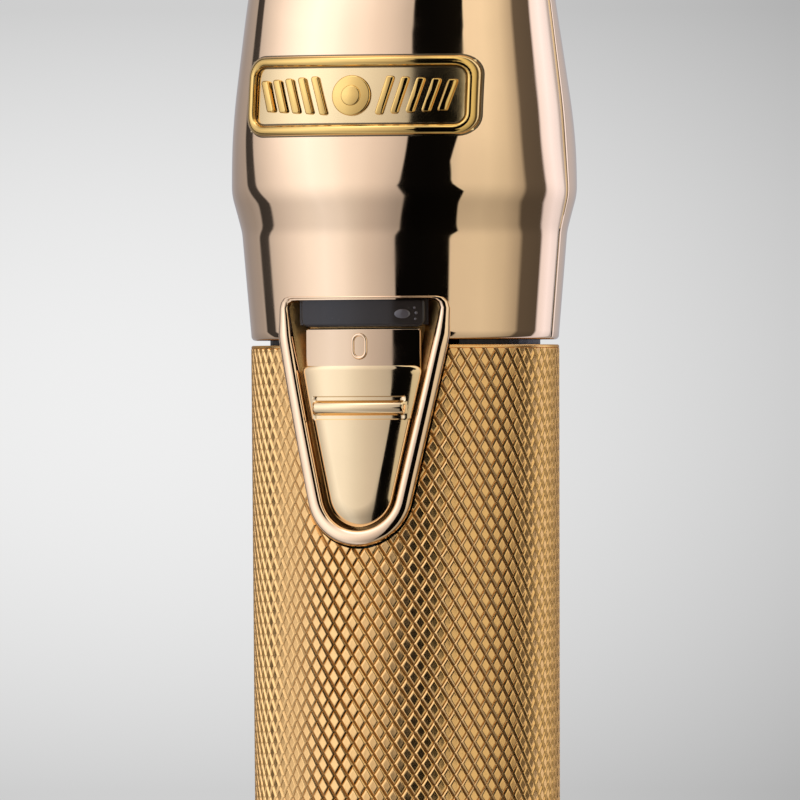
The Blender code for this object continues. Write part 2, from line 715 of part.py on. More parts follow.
def switch_button(material):
    rows = shield(SHIELD_BORDER + BUTTON_SIDE_GAP, BUTTON_TOP, BUTTON_CORNER)
    button = curved_block("switch_button", rows, PAD_FACE + GAP, BUTTON_FACE, material)
    middle = BUTTON_TOP - BAR_DROP
    bar_rows = [(middle + BAR_HEIGHT / 2, BAR_HALF_WIDTH), (middle - BAR_HEIGHT / 2, BAR_HALF_WIDTH)]
    bar = curved_block("switch_button_bar", bar_rows, BUTTON_FACE - 0.4 * MM, BAR_FACE)
    stem_top = BUTTON_TOP - STEM_DROP
    stem = block(
        "switch_button_stem",
        (-STEM_HALF_WIDTH, -BUTTON_FACE + 0.4 * MM, stem_top - STEM_HEIGHT),
        (STEM_HALF_WIDTH, -SLIDER_BACK - GAP, stem_top),
    )
    join(button, bar, stem)
    return button


def switch_slider(material):
    """Carries the button's stem behind the plate and the contact that the board reads."""
    middle = BUTTON_TOP - STEM_DROP - STEM_HEIGHT / 2
    slider = block(
        "switch_slider",
        (-SLIDER_HALF_WIDTH, -SLIDER_FACE, middle - SLIDER_HEIGHT / 2),
        (SLIDER_HALF_WIDTH, -SLIDER_BACK, middle + SLIDER_HEIGHT / 2),
        material,
    )
    half_width, half_height = STEM_HALF_WIDTH + GAP, STEM_HEIGHT / 2 + GAP
    socket = block(
        "switch_slider_socket",
        (-half_width, -SHIELD_CREST, middle - half_height),
        (half_width, 0.0, middle + half_height),
    )
    cut(slider, socket)
    return slider


def window_lens(material):
    bottom = LENS_TOP - LENS_HEIGHT
    rows = [(LENS_TOP, LENS_HALF_WIDTH)]
    for k in range(4):
        angle = math.pi / 2 * k / 3
        back = LENS_CORNER * (1 - math.cos(angle))
        rows.append((bottom + LENS_CORNER * (1 - math.sin(angle)), LENS_HALF_WIDTH - back))
    return curved_block("window_lens", rows, PLATE_FACE + GAP, LENS_FACE, material)


# ---------------------------------------------------------------- board, battery and frame

def circuit_board(material):
    face = BOARD_BACK + BOARD_THICKNESS
    board = block(
        "circuit_board",
        (-BOARD_HALF_WIDTH, -face, BOARD_BOTTOM),
        (BOARD_HALF_WIDTH, -BOARD_BACK, BOARD_TOP),
        material,
    )
    chips = [
        ("charger_chip", -2.5, 2.5, 8.0, 13.0),
        ("controller_chip", -3.5, 3.5, 22.0, 29.0),
        ("coil", -3.0, 3.0, 38.0, 44.0),
    ]
    for name, x0, x1, z0, z1 in chips:
        low = (x0 * MM, -face - 1.0 * MM, BOARD_BOTTOM + z0 * MM)
        high = (x1 * MM, -face + 0.3 * MM, BOARD_BOTTOM + z1 * MM)
        join(board, block("circuit_board_" + name, low, high))
    return board


def status_led(material):
    face = BOARD_BACK + BOARD_THICKNESS + GAP
    middle = BOARD_TOP - 2.4 * MM
    low = (-1.6 * MM, -face - 1.2 * MM, middle - 0.8 * MM)
    return block("status_led", low, (1.6 * MM, -face, middle + 0.8 * MM), material)


def battery(material):
    radius, nub = BATTERY_RADIUS, 2.8 * MM
    profile = [(0, BATTERY_BOTTOM)] + [
        tuple(p)
        for p in rounded(
            [
                (0, BATTERY_BOTTOM, 0),
                (radius, BATTERY_BOTTOM, 0.8 * MM),
                (radius, BATTERY_TOP - 1.0 * MM, 0.8 * MM),
                (nub, BATTERY_TOP - 1.0 * MM, 0),
                (nub, BATTERY_TOP, 0),
                (0, BATTERY_TOP, 0),
            ],
            closed=False,
            steps=3,
        )
    ][1:]
    return turned("battery", profile, material, (0.0, CORE_Y), 40)


def battery_tab(name, height, drop, material):
    """A nickel strip from the middle of the battery's end, bent along the battery to the board."""
    reach = BOARD_BACK - GAP
    bend = reach - TAB_THICKNESS
    end = height + drop
    outline = [
        (CORE_Y, height),
        (-reach, height),
        (-reach, end),
        (-bend, end),
        (-bend, height + math.copysign(TAB_THICKNESS, drop)),
        (CORE_Y, height + math.copysign(TAB_THICKNESS, drop)),
    ]
    return plate(name, outline, lambda a, b, c: Vector((c, a, b)), -2.0 * MM, 2.0 * MM, material)


def inner_frame(material):
    """A half trough behind the battery and the motor, with ribs that cradle them."""
    low, high = CAP_HEIGHT + CAP_SPIGOT + GAP, BARREL_TOP - 6.0 * MM - GAP
    trough = tube("inner_frame", FRAME_RADIUS - FRAME_WALL, FRAME_RADIUS, low, high, material)
    ribs = [BATTERY_BOTTOM + 8.0 * MM, BATTERY_TOP - 12.0 * MM, MOTOR_BOTTOM + 3.0 * MM]
    for i, height in enumerate(ribs):
        rib = turned(
            f"inner_frame_rib_{i}",
            [(0, height), (FRAME_RADIUS - 0.6 * MM, height)]
            + [(FRAME_RADIUS - 0.6 * MM, height + 2.0 * MM), (0, height + 2.0 * MM)],
        )
        join(trough, rib)
    reach = 2 * CAP_RADIUS
    front = block("inner_frame_front", (-reach, -reach, 0), (reach, CORE_Y, HEAD_TOP))
    centre = (0.0, CORE_Y)
    room = BATTERY_TOP + 1.0 * MM
    cell = turned(
        "inner_frame_cell",
        [(0, 0), (BATTERY_RADIUS + GAP, 0), (BATTERY_RADIUS + GAP, room), (0, room)],
        centre=centre,
    )
    motor = turned(
        "inner_frame_motor",
        [(0, room - 1.0 * MM), (MOTOR_RADIUS + GAP, room - 1.0 * MM)]
        + [(MOTOR_RADIUS + GAP, HEAD_TOP), (0, HEAD_TOP)],
        centre=centre,
    )
    cut(trough, front, cell, motor)
    return trough


def lead(name, side, material):
    """A wire from the board round the battery's shoulder to the motor's end bell."""
    x = side * 4.5 * MM
    top = MOTOR_BOTTOM - 0.9 * MM
    route = [
        Vector((x, -BOARD_BACK + 0.9 * MM, BATTERY_TOP - 12.0 * MM)),
        Vector((x, -BOARD_BACK + 1.2 * MM, BATTERY_TOP - 5.0 * MM)),
        Vector((x, -BOARD_BACK + 1.6 * MM, BATTERY_TOP - 0.5 * MM)),
        Vector((x, -BOARD_BACK + 3.0 * MM, top)),
        Vector((x, -5.5 * MM, top + 0.1 * MM)),
    ]
    data = bpy.data.curves.new(name, "CURVE")
    data.dimensions = "3D"
    data.bevel_depth = 0.4 * MM
    data.bevel_resolution = 1
    data.use_fill_caps = True
    spline = data.splines.new("POLY")
    steps = 4
    points = []
    for i in range(len(route) - 1):
        p0, p1, p2, p3 = (route[max(0, min(len(route) - 1, i + k))] for k in (-1, 0, 1, 2))
        for k in range(steps):
            t = k / steps
            points.append(
                0.5 * (2 * p1 + (p2 - p0) * t + (2 * p0 - 5 * p1 + 4 * p2 - p3) * t**2
                       + (3 * p1 - p0 - 3 * p2 + p3) * t**3)
            )
    points.append(route[-1])
    spline.points.add(len(points) - 1)
    for point, place in zip(spline.points, points):
        point.co = (*place, 1.0)
    obj = bpy.data.objects.new(name, data)
    data.materials.append(material)
    bpy.context.scene.collection.objects.link(obj)
    return obj


# ---------------------------------------------------------------- motor

def motor_can(material):
    centre = (0.0, CORE_Y)
    low = MOTOR_BOTTOM + BELL_HEIGHT + GAP
    inner = MOTOR_RADIUS - MOTOR_WALL
    hole = BEARING_RADIUS + GAP
    roof = MOTOR_TOP - MOTOR_ROOF
    profile = [(inner, low), (MOTOR_RADIUS, low), (MOTOR_RADIUS, MOTOR_TOP), (hole, MOTOR_TOP)]
    profile += [(hole, roof), (inner, roof)]
    can = turned("motor_can", profile, material, centre, 48)
    for side in (-1, 1):
        x = side * MOTOR_SCREW_SPREAD
        low, high = (x, CORE_Y, roof - 1.0 * MM), (x, CORE_Y, HEAD_TOP)
        cut(can, rod("motor_can_hole", low, high, MOTOR_SCREW_SHANK + BORE_GAP))
    return can


def motor_bell(material):
    centre = (0.0, CORE_Y)
    top = MOTOR_BOTTOM + BELL_HEIGHT
    return tube("motor_bell", BEARING_RADIUS + GAP, MOTOR_RADIUS, MOTOR_BOTTOM, top, material, centre, 48)


def bearing(name, low, material):
    centre = (0.0, CORE_Y)
    inner = SHAFT_RADIUS + BORE_GAP
    return tube(name, inner, BEARING_RADIUS, low, low + 1.6 * MM, material, centre, SMALL_ROUND)


def stator(material):
    low, high = MOTOR_BOTTOM + 5.0 * MM, MOTOR_TOP - 5.0 * MM
    outer = MOTOR_RADIUS - MOTOR_WALL - GAP
    return tube("stator_winding", STATOR_INNER, outer, low, high, material, (0.0, CORE_Y), 36)


def rotor_magnet(material):
    low, high = MOTOR_BOTTOM + 5.5 * MM, MOTOR_TOP - 5.5 * MM
    inner = SHAFT_RADIUS + BORE_GAP
    return tube("rotor_magnet", inner, ROTOR_RADIUS, low, high, material, (0.0, CORE_Y), SMALL_ROUND)


def rotor_shaft(material):
    low, high = MOTOR_BOTTOM + 0.2 * MM, HUB_BOTTOM + 3.0 * MM
    return rod("rotor_shaft", (0, CORE_Y, low), (0, CORE_Y, high), SHAFT_RADIUS, material)


def motor_mount(material):
    """The plate over the motor, with a front and a rear ear that hold the arm's pivot pin."""
    centre = (0.0, CORE_Y)
    hole = BEARING_RADIUS + GAP
    mount = tube("motor_mount", hole, MOUNT_RADIUS, MOUNT_BOTTOM, MOUNT_TOP, material, centre, 48)
    for side in (-1, 1):
        middle = CORE_Y + side * EAR_REACH
        corners = [(-4.5 * MM, MOUNT_TOP - 0.5 * MM, 0), (4.5 * MM, MOUNT_TOP - 0.5 * MM, 0)]
        corners += [(EAR_ROUND, PIVOT.z + EAR_ROUND, 2.8 * MM), (-EAR_ROUND, PIVOT.z + EAR_ROUND, 2.8 * MM)]
        ear = plate(
            f"motor_mount_ear_{side}",
            rounded(corners),
            lambda a, b, c: Vector((a, c, b)),
            middle - EAR_THICKNESS / 2,
            middle + EAR_THICKNESS / 2,
        )
        join(mount, ear)
        x = side * MOTOR_SCREW_SPREAD
        low, high = (x, CORE_Y, MOUNT_BOTTOM - OVERSHOOT), (x, CORE_Y, MOUNT_TOP + OVERSHOOT)
        cut(mount, rod("motor_mount_hole", low, high, MOTOR_SCREW_SHANK + BORE_GAP))
    reach = Vector((0, 2 * EAR_REACH, 0))
    cut(mount, rod("motor_mount_bore", PIVOT - reach, PIVOT + reach, PIVOT_RADIUS + BORE_GAP))
    return mount


def motor_screw(name, side, material):
    under = MOUNT_TOP + GAP
    face = under + 1.0 * MM
    tip = MOTOR_TOP - MOTOR_ROOF + GAP
    shank, head = MOTOR_SCREW_SHANK, MOTOR_SCREW_HEAD
    profile = [(0, tip), (shank, tip), (shank, under), (head, under), (head, face), (0, face)]
    return turned(name, profile, material, (side * MOTOR_SCREW_SPREAD, CORE_Y), TINY_ROUND)


# ---------------------------------------------------------------- drive

def eccentric(material):
    centre = (0.0, CORE_Y)
    top = HUB_BOTTOM + HUB_HEIGHT
    bore = SHAFT_RADIUS + BORE_GAP
    roof = HUB_BOTTOM + 3.3 * MM
    profile = [(bore, HUB_BOTTOM), (HUB_RADIUS, HUB_BOTTOM), (HUB_RADIUS, top), (0, top), (0, roof)]
    profile += [(bore, roof)]
    hub = turned("eccentric", profile, material, centre, SMALL_ROUND)
    y = CORE_Y - THROW
    pin = rod("eccentric_pin", (0, y, top - 0.1 * MM), (0, y, top + CRANK_PIN_LENGTH), CRANK_PIN_RADIUS)
    join(hub, pin)
    return hub


def cam_roller(material):
    low = HUB_BOTTOM + HUB_HEIGHT + GAP
    high = low + CRANK_PIN_LENGTH - 2 * GAP
    centre = (0.0, CORE_Y - THROW)
    inner = CRANK_PIN_RADIUS + BORE_GAP
    return tube("cam_roller", inner, ROLLER_RADIUS, low, high, material, centre, SMALL_ROUND)


def pivot_pin(material):
    reach = Vector((0, EAR_REACH + EAR_THICKNESS / 2, 0))
    return rod("pivot_pin", PIVOT - reach, PIVOT + reach, PIVOT_RADIUS, material)


def drive_arm(material):
    """A rocker: its fork straddles the roller and its finger reaches into the cutter's notch."""
    fork_low = HUB_BOTTOM + HUB_HEIGHT + 0.5 * MM
    fork_high = fork_low + CRANK_PIN_LENGTH
    slot = ROLLER_RADIUS + 2 * THROW + BORE_GAP
    outer = slot + ARM_PRONG
    tip = in_blade(0, FINGER_V, -FIXED_THICKNESS).z
    right = [
        (slot, fork_low, 0.0),
        (outer, fork_low, 0.6 * MM),
        (outer, fork_high + 1.4 * MM, 2.0 * MM),
        (ARM_HALF_WIDTH, PIVOT.z - ARM_BOSS, 0.0),
        (ARM_HALF_WIDTH, tip + 0.6 * MM, 1.6 * MM),
    ]
    left = [(-x, z, r) for x, z, r in reversed(right)]
    corners = right + left + [(-slot, fork_high, 1.2 * MM), (slot, fork_high, 1.2 * MM)]
    half = ARM_THICKNESS / 2
    arm = plate(
        "drive_arm",
        rounded(corners),
        lambda a, b, c: Vector((a, c, b)),
        CORE_Y - half,
        CORE_Y + half,
        material,
    )
    boss_half = half + 0.6 * MM
    side = Vector((0, boss_half, 0))
    boss = rod("drive_arm_boss", PIVOT - side, PIVOT + side, ARM_BOSS, segments=SMALL_ROUND)
    back = (CORE_Y - BLADE_FOOT.y + math.sin(BLADE_TILT) * FINGER_V) / math.cos(BLADE_TILT)
    root, end = in_blade(0, FINGER_V, back), in_blade(0, FINGER_V, -2 * GAP)
    finger = rod("drive_arm_finger", root, end, FINGER_RADIUS)
    join(arm, boss, finger)
    reach = Vector((0, 2 * EAR_REACH, 0))
    cut(arm, rod("drive_arm_bore", PIVOT - reach, PIVOT + reach, PIVOT_RADIUS + BORE_GAP))
    return arm


# ---------------------------------------------------------------- blades

def comb(half, root, tip, count, gap_share, tip_share):
    """Teeth along the top of a blade, right to left, as (u, v) points."""
    pitch = 2 * half / count
    points = []
    for k in range(count):
        middle = half - pitch * (k + 0.5)
        base = pitch * (1 - gap_share) / 2
        point = pitch * tip_share / 2
        points += [(middle + base, root), (middle + point, tip)]
        points += [(middle - point, tip), (middle - base, root)]
    return points


def fixed_blade(material):
    """The T-shaped blade that lies on the skin."""
    neck, bar, tip = FIXED_NECK, FIXED_BAR, FIXED_TIP
    right = [(neck, 0.0), (neck, tip - 14.0 * MM), (bar, tip - 9.0 * MM), (bar, tip - 5.0 * MM)]
    left = [(-u, v) for u, v in reversed(right)]
    teeth = comb(bar - 0.6 * MM, tip - 4.4 * MM, tip, 30, 0.42, 0.28)
    blade = blade_plate("fixed_blade", right + teeth + left, 0.0, FIXED_THICKNESS, material)
    for side in (-1, 1):
        hole = [side * BLADE_SCREW_SPREAD, BLADE_SCREW_V]
        low, high = in_blade(*hole, -OVERSHOOT), in_blade(*hole, OVERSHOOT)
        cut(blade, rod("fixed_blade_hole", low, high, BLADE_SCREW_SHANK + BORE_GAP + 0.1 * MM))
    return blade


def cutter_blade(material):
    """The blade that slides across the fixed one, notched for the arm's finger."""
    tail, bar, foot, tip = CUTTER_TAIL, CUTTER_BAR, CUTTER_FOOT, CUTTER_TIP
    notch = FINGER_RADIUS + BORE_GAP
    right = [(notch, foot), (tail, foot), (tail, tip - 11.6 * MM)]
    right += [(bar, tip - 7.4 * MM), (bar, tip - 4.4 * MM)]
    left = [(-u, v) for u, v in reversed(right)]
    teeth = comb(bar - 0.4 * MM, tip - 4.0 * MM, tip, 22, 0.45, 0.25)
    notch_top = FINGER_V + FINGER_RADIUS + BORE_GAP
    bottom = [(-notch, notch_top), (notch, notch_top)]
    outline = right + teeth + left + bottom
    back = -GAP
    return blade_plate("cutter_blade", outline, back - CUTTER_THICKNESS, back, material)


def blade_mount(material):
    """The block in the head's mouth that the blade set is screwed to."""
    half = MOUNT_BLOCK_HALF
    foot, head = MOUNT_BLOCK_FOOT, MOUNT_BLOCK_HEAD
    corners = [(-half, foot, 0), (half, foot, 0), (half, head, 1.5 * MM), (-half, head, 1.5 * MM)]
    mount = blade_plate("blade_mount", rounded(corners), -MOUNT_BLOCK_DEPTH, -GAP, material)
    for side in (-1, 1):
        hole = [side * BLADE_SCREW_SPREAD, BLADE_SCREW_V]
        low, high = in_blade(*hole, -MOUNT_BLOCK_DEPTH - OVERSHOOT), in_blade(*hole, OVERSHOOT)
        cut(mount, rod("blade_mount_hole", low, high, BLADE_SCREW_SHANK + BORE_GAP))
    return mount


def blade_screw(name, side, material):
    u, v = side * BLADE_SCREW_SPREAD, BLADE_SCREW_V
    face = FIXED_THICKNESS + GAP
    shank, head, sides = BLADE_SCREW_SHANK, BLADE_SCREW_HEAD, TINY_ROUND
    top = face + head / 2
    rings = [(0.4 * MM - MOUNT_BLOCK_DEPTH, shank), (face, shank), (face, head), (top - 0.4 * MM, head)]
    rings += [(top, head - 0.5 * MM)]
    loops = []
    for n, radius in rings:
        loop = []
        for k in range(sides):
            angle = 2 * math.pi * k / sides
            loop.append(in_blade(u + radius * math.cos(angle), v + radius * math.sin(angle), n))
        loops.append(loop)
    screw = skin(name, loops, material)
    for turn in (0, 1):
        long, short = 1.7 * MM, 0.35 * MM
        a, b = (long, short) if turn else (short, long)
        outline = [(u - a, v - b), (u + a, v - b), (u + a, v + b), (u - a, v + b)]
        cut(screw, blade_plate(f"{name}_cross_{turn}", outline, top - 0.7 * MM, top + 1.0 * MM))
    return screw


def tension_spring(material):
    """A bent wire: its crossbar lies on the blade mount and its two tips press on the cutter."""
    u, wire = 8.6 * MM, SPRING_WIRE
    rest = -MOUNT_BLOCK_DEPTH - GAP - wire
    press = -GAP - CUTTER_THICKNESS - GAP - wire
    top, bend = CUTTER_TIP - 7.0 * MM, MOUNT_BLOCK_HEAD + 1.7 * MM
    half = [(u, top, press), (u, top - 2.3 * MM, press), (u, bend, rest), (u, 2.0 * MM, rest)]
    half += [(u - 0.6 * MM, 0.9 * MM, rest), (u - 1.8 * MM, 0.4 * MM, rest)]
    route = half + [(-a, b, c) for a, b, c in reversed(half)]
    data = bpy.data.curves.new("tension_spring", "CURVE")
    data.dimensions = "3D"
    data.bevel_depth = wire
    data.bevel_resolution = 1
    data.use_fill_caps = True
    spline = data.splines.new("POLY")
    spline.points.add(len(route) - 1)
    for point, place in zip(spline.points, route):
        point.co = (*in_blade(*place), 1.0)
    obj = bpy.data.objects.new("tension_spring", data)
    data.materials.append(material)
    bpy.context.scene.collection.objects.link(obj)
    return obj


# ---------------------------------------------------------------- the clipper

def clear_scene():
    for obj in list(bpy.data.objects):
        bpy.data.objects.remove(obj)


def build():
    clear_scene()
    rose_gold = metal_or_plastic("rose_gold", (0.83, 0.62, 0.46), 0.08, 1.0)
    barrel_gold = metal_or_plastic("barrel_gold", (0.78, 0.55, 0.27), 0.30, 1.0)
    pale_gold = metal_or_plastic("pale_gold", (0.86, 0.76, 0.48), 0.12, 1.0)
    steel = metal_or_plastic("steel", (0.62, 0.62, 0.64), 0.25, 1.0)
    dark_steel = metal_or_plastic("dark_steel", (0.10, 0.10, 0.11), 0.30, 1.0)
    black_plastic = metal_or_plastic("black_plastic", (0.02, 0.02, 0.02), 0.5, 0.0)
    smoked = metal_or_plastic("smoked_lens", (0.05, 0.045, 0.045), 0.08, 0.0)
    rubber = metal_or_plastic("rubber", (0.03, 0.03, 0.03), 0.8, 0.0)
    green = metal_or_plastic("board_green", (0.03, 0.20, 0.08), 0.4, 0.0)
    sleeve = metal_or_plastic("battery_sleeve", (0.05, 0.20, 0.45), 0.4, 0.0)
    nickel = metal_or_plastic("nickel", (0.75, 0.73, 0.68), 0.3, 1.0)
    copper = metal_or_plastic("copper", (0.72, 0.36, 0.20), 0.35, 1.0)
    red = metal_or_plastic("red_wire", (0.6, 0.03, 0.03), 0.5, 0.0)
    clear = metal_or_plastic("led_clear", (0.8, 0.8, 0.75), 0.2, 0.0)

    front_shell(rose_gold)
    rear_shell(rose_gold)
    mouth_plate(black_plastic)
    badge(pale_gold)
    barrel(barrel_gold)
    coupling_ring(black_plastic)
    end_cap(rose_gold)
    cap_screw("cap_screw_front", -1, dark_steel)
    cap_screw("cap_screw_rear", 1, dark_steel)
    o_ring(rubber)
    dc_jack(black_plastic)
    jack_pin(nickel)
    switch_plate(rose_gold)
    window_lens(smoked)
    circuit_board(green)
    status_led(clear)
    battery(sleeve)
    battery_tab("battery_tab_positive", BATTERY_TOP + GAP + TAB_THICKNESS, -6.0 * MM, nickel)
    battery_tab("battery_tab_negative", BATTERY_BOTTOM - GAP - TAB_THICKNESS, 6.0 * MM, nickel)
    inner_frame(black_plastic)
    lead("motor_lead_red", 1, red)
    lead("motor_lead_black", -1, rubber)
    motor_can(steel)
    motor_bell(black_plastic)
    bearing("front_bearing", MOTOR_TOP - 1.8 * MM, copper)
    bearing("rear_bearing", MOTOR_BOTTOM + 0.2 * MM, copper)
    stator(copper)
    motor_mount(steel)
    motor_screw("motor_screw_left", -1, dark_steel)
    motor_screw("motor_screw_right", 1, dark_steel)
    pivot_pin(steel)
    blade_mount(black_plastic)
    fixed_blade(steel)
    blade_screw("blade_screw_left", -1, dark_steel)
    blade_screw("blade_screw_right", 1, dark_steel)
    tension_spring(steel)

    switch = [switch_button(pale_gold), switch_slider(black_plastic)]
    hang(switch, "switch_slide", (0.0, -BUTTON_FACE, BUTTON_TOP))
    rotor = [rotor_shaft(steel), rotor_magnet(dark_steel), eccentric(steel), cam_roller(nickel)]
    hang(rotor, "rotor_spin", (0.0, CORE_Y, MOTOR_TOP))
    hang([drive_arm(black_plastic)], "arm_rock", PIVOT)
    hang([cutter_blade(dark_steel)], "cutter_slide", in_blade(0.0, FINGER_V, 0.0))


build()
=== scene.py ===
"""Looks of a cordless hair clipper: polished shells, knurled grip, shield-framed switch and T-blade."""

import json
import math

import bmesh
import bpy
import numpy as np
from bpy.props import FloatProperty, FloatVectorProperty, IntProperty, PointerProperty
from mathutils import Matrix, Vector


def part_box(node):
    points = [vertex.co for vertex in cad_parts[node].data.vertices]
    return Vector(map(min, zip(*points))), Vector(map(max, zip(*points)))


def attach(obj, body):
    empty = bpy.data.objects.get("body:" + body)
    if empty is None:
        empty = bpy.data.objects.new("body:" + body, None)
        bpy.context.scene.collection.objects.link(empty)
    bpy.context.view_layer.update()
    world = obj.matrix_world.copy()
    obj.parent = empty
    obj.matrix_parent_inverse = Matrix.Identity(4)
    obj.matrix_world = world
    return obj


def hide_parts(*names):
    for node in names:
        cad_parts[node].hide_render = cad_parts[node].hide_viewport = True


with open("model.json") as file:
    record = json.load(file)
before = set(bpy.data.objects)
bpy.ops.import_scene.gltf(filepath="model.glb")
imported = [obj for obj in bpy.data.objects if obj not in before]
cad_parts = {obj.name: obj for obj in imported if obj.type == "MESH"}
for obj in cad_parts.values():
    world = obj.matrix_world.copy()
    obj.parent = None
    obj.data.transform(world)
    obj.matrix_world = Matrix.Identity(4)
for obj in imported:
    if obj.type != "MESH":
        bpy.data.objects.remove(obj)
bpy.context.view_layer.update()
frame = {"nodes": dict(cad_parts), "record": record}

bl_info = {
    "name": "Hair clipper looks",
    "version": (1, 0, 0),
    "blender": (4, 5, 0),
    "location": "View3D > Sidebar > Clipper",
    "description": "Builds the shells, knurled grip, switch, badge, cap and finishes of a hair clipper",
    "category": "Add Mesh",
}

MM = 0.001

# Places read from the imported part.
SHELL_LOW, SHELL_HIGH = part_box("rear_shell")
BARREL_LOW, BARREL_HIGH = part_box("barrel")
CAP_LOW, CAP_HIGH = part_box("end_cap")
LENS_LOW, LENS_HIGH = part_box("window_lens")
BUTTON_LOW, BUTTON_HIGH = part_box("switch_button")
BADGE_LOW, BADGE_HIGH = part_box("badge")
RIM = SHELL_LOW.z
HEAD_TOP = SHELL_HIGH.z
BARREL_RADIUS = BARREL_HIGH.x
RIM_RADIUS = BARREL_RADIUS - 0.07 * MM


# ---------------------------------------------------------------- properties

def length(name, description, default):
    """A size setting, in metres."""
    return FloatProperty(name=name, description=description, default=default, unit="LENGTH", precision=5)


def tint(name, description, default):
    """A colour setting."""
    return FloatVectorProperty(
        name=name, description=description, default=default, size=3, subtype="COLOR", min=0.0, max=1.0
    )


class ClipperSizes(bpy.types.PropertyGroup):
    """Sizes of the visible pieces."""

    knurl_starts: IntProperty(
        name="Knurl starts", description="Grooves of each hand around the barrel", default=70, min=12
    )
    knurl_rise: length("Knurl rise", "Height of one diamond, with its grooves", 2.53 * MM)
    knurl_depth: length("Knurl depth", "Depth of the deeper grooves below the diamonds", 0.24 * MM)
    shell_wall: length("Shell wall", "Thickness of the head's shells", 1.8 * MM)
    border_crest: length("Border crest", "How far the switch's border stands proud of the barrel", 1.0 * MM)
    badge_border: length("Badge border", "Width of the badge's rolled border", 1.25 * MM)
    mark_height: length("Mark height", "Height of the switch's off mark", 3.1 * MM)


class ClipperColours(bpy.types.PropertyGroup):
    """Colours of the finishes."""

    shell: tint("Shell", "Polished plating of the head and the cap", (0.94, 0.67, 0.43))
    barrel: tint("Barrel", "Plating of the knurled barrel", (0.91, 0.55, 0.215))
    trim: tint("Trim", "Plating of the badge and the button", (0.83, 0.62, 0.36))
    lens: tint("Lens", "Smoked plastic of the window", (0.022, 0.017, 0.014))
    floor: tint("Floor", "Studio floor", (0.75, 0.75, 0.75))


# ---------------------------------------------------------------- node trees

class Wire:
    """One output socket; arithmetic on wires and numbers adds Math nodes."""

    def __init__(self, tree, socket):
        self.tree = tree
        self.socket = socket

    def _math(self, operation, *values):
        return self.tree.node("ShaderNodeMath", {"operation": operation}, list(values))

    def __add__(self, other):
        return self._math("ADD", self, other)

    def __sub__(self, other):
        return self._math("SUBTRACT", self, other)

    def __rsub__(self, other):
        return self._math("SUBTRACT", other, self)

    def __mul__(self, other):
        return self._math("MULTIPLY", self, other)

    def __truediv__(self, other):
        return self._math("DIVIDE", self, other)

    def __pow__(self, other):
        return self._math("POWER", self, other)

    __radd__ = __add__
    __rmul__ = __mul__

    def clamp(self, low=0.0, high=1.0):
        return self._math("MINIMUM", self._math("MAXIMUM", self, low), high)

    def step(self, low, high):
        """0 below low, 1 above high, smooth between."""
        settings = {"interpolation_type": "SMOOTHSTEP"}
        values = {"Value": self, "From Min": low, "From Max": high}
        return self.tree.node("ShaderNodeMapRange", settings, values)


class Tree:
    """A node tree that is written as expressions."""

    def __init__(self, node_tree):
        self.nodes = node_tree.nodes
        self.links = node_tree.links

    def node(self, kind, settings=None, values=None, out=0):
        made = self.nodes.new(kind)
        for key, value in (settings or {}).items():
            if key == "stops":
                self._stops(made.color_ramp, value)
            else:
                setattr(made, key, value)
        pairs = values.items() if isinstance(values, dict) else enumerate(values or [])
        for key, value in pairs:
            if isinstance(value, Wire):
                self.links.new(value.socket, made.inputs[key])
            else:
                made.inputs[key].default_value = value
        return Wire(self, made.outputs[out])

    @staticmethod
    def _stops(ramp, stops):
        while len(ramp.elements) < len(stops):
            ramp.elements.new(1.0)
        for element, (position, colour) in zip(ramp.elements, stops):
            element.position = position
            element.color = (*colour, 1.0)

    def place(self):
        return self.node("ShaderNodeTexCoord", out="Object")

    def noise(self, scale, detail=3.0, roughness=0.5, where=None, out="Fac"):
        values = {"Vector": where or self.place(), "Scale": scale, "Detail": detail, "Roughness": roughness}
        return self.node("ShaderNodeTexNoise", {}, values, out)

    def stretched(self, scale):
        """Object coordinates scaled differently along each axis."""
        return self.node("ShaderNodeVectorMath", {"operation": "MULTIPLY"}, [self.place(), scale])

    def tone(self, factor, low, high):
        """From colour low to colour high as the factor goes from 0 to 1."""
        values = {0: factor, 6: (*low, 1.0), 7: (*high, 1.0)}
        return self.node("ShaderNodeMix", {"data_type": "RGBA"}, values, out=2)

    def axes(self, vector):
        split = self.node("ShaderNodeSeparateXYZ", {}, [vector]).socket.node
        return [Wire(self, split.outputs[k]) for k in range(3)]

    def bump(self, height, distance, strength=1.0):
        return self.node("ShaderNodeBump", {}, {"Height": height, "Distance": distance, "Strength": strength})


def finish(name, sockets, build=None):
    """A Principled material: fixed socket values, then the varying ones that build(tree) returns."""
    made = bpy.data.materials.new(name)
    made.use_nodes = True
    tree = Tree(made.node_tree)
    shader = made.node_tree.nodes["Principled BSDF"]
    for key, value in sockets.items():
        shader.inputs[key].default_value = value
    for key, wire in (build(tree) if build else {}).items():
        tree.links.new(wire.socket, shader.inputs[key])
    return made


def scaled(colour, factor):
    """The colour, brighter or darker by this factor."""
    return tuple(min(1.0, c * factor) for c in colour)


def plating(name, colour, roughness):
    """Polished plating: faint haze and fingerprints, hairline scratches and a slight unevenness."""

    def build(tree):
        haze = tree.noise(90.0, 4.0, 0.6).step(0.42, 0.72)
        hairline = tree.noise(1.0, 2.0, 0.7, tree.stretched((900.0, 900.0, 5200.0))).step(0.62, 0.8)
        wobble = tree.noise(28.0, 1.0, 0.4)
        return {
            "Base Color": tree.tone(haze * 0.35 + hairline * 0.15, colour, scaled(colour, 0.93)),
            "Roughness": haze * roughness * 0.8 + hairline * 0.35 * roughness + roughness * 0.7,
            "Normal": tree.bump(wobble + hairline * 0.004, 0.0001, 0.35),
        }

    return finish(name, {"Metallic": 1.0, "Specular IOR Level": 0.5}, build)


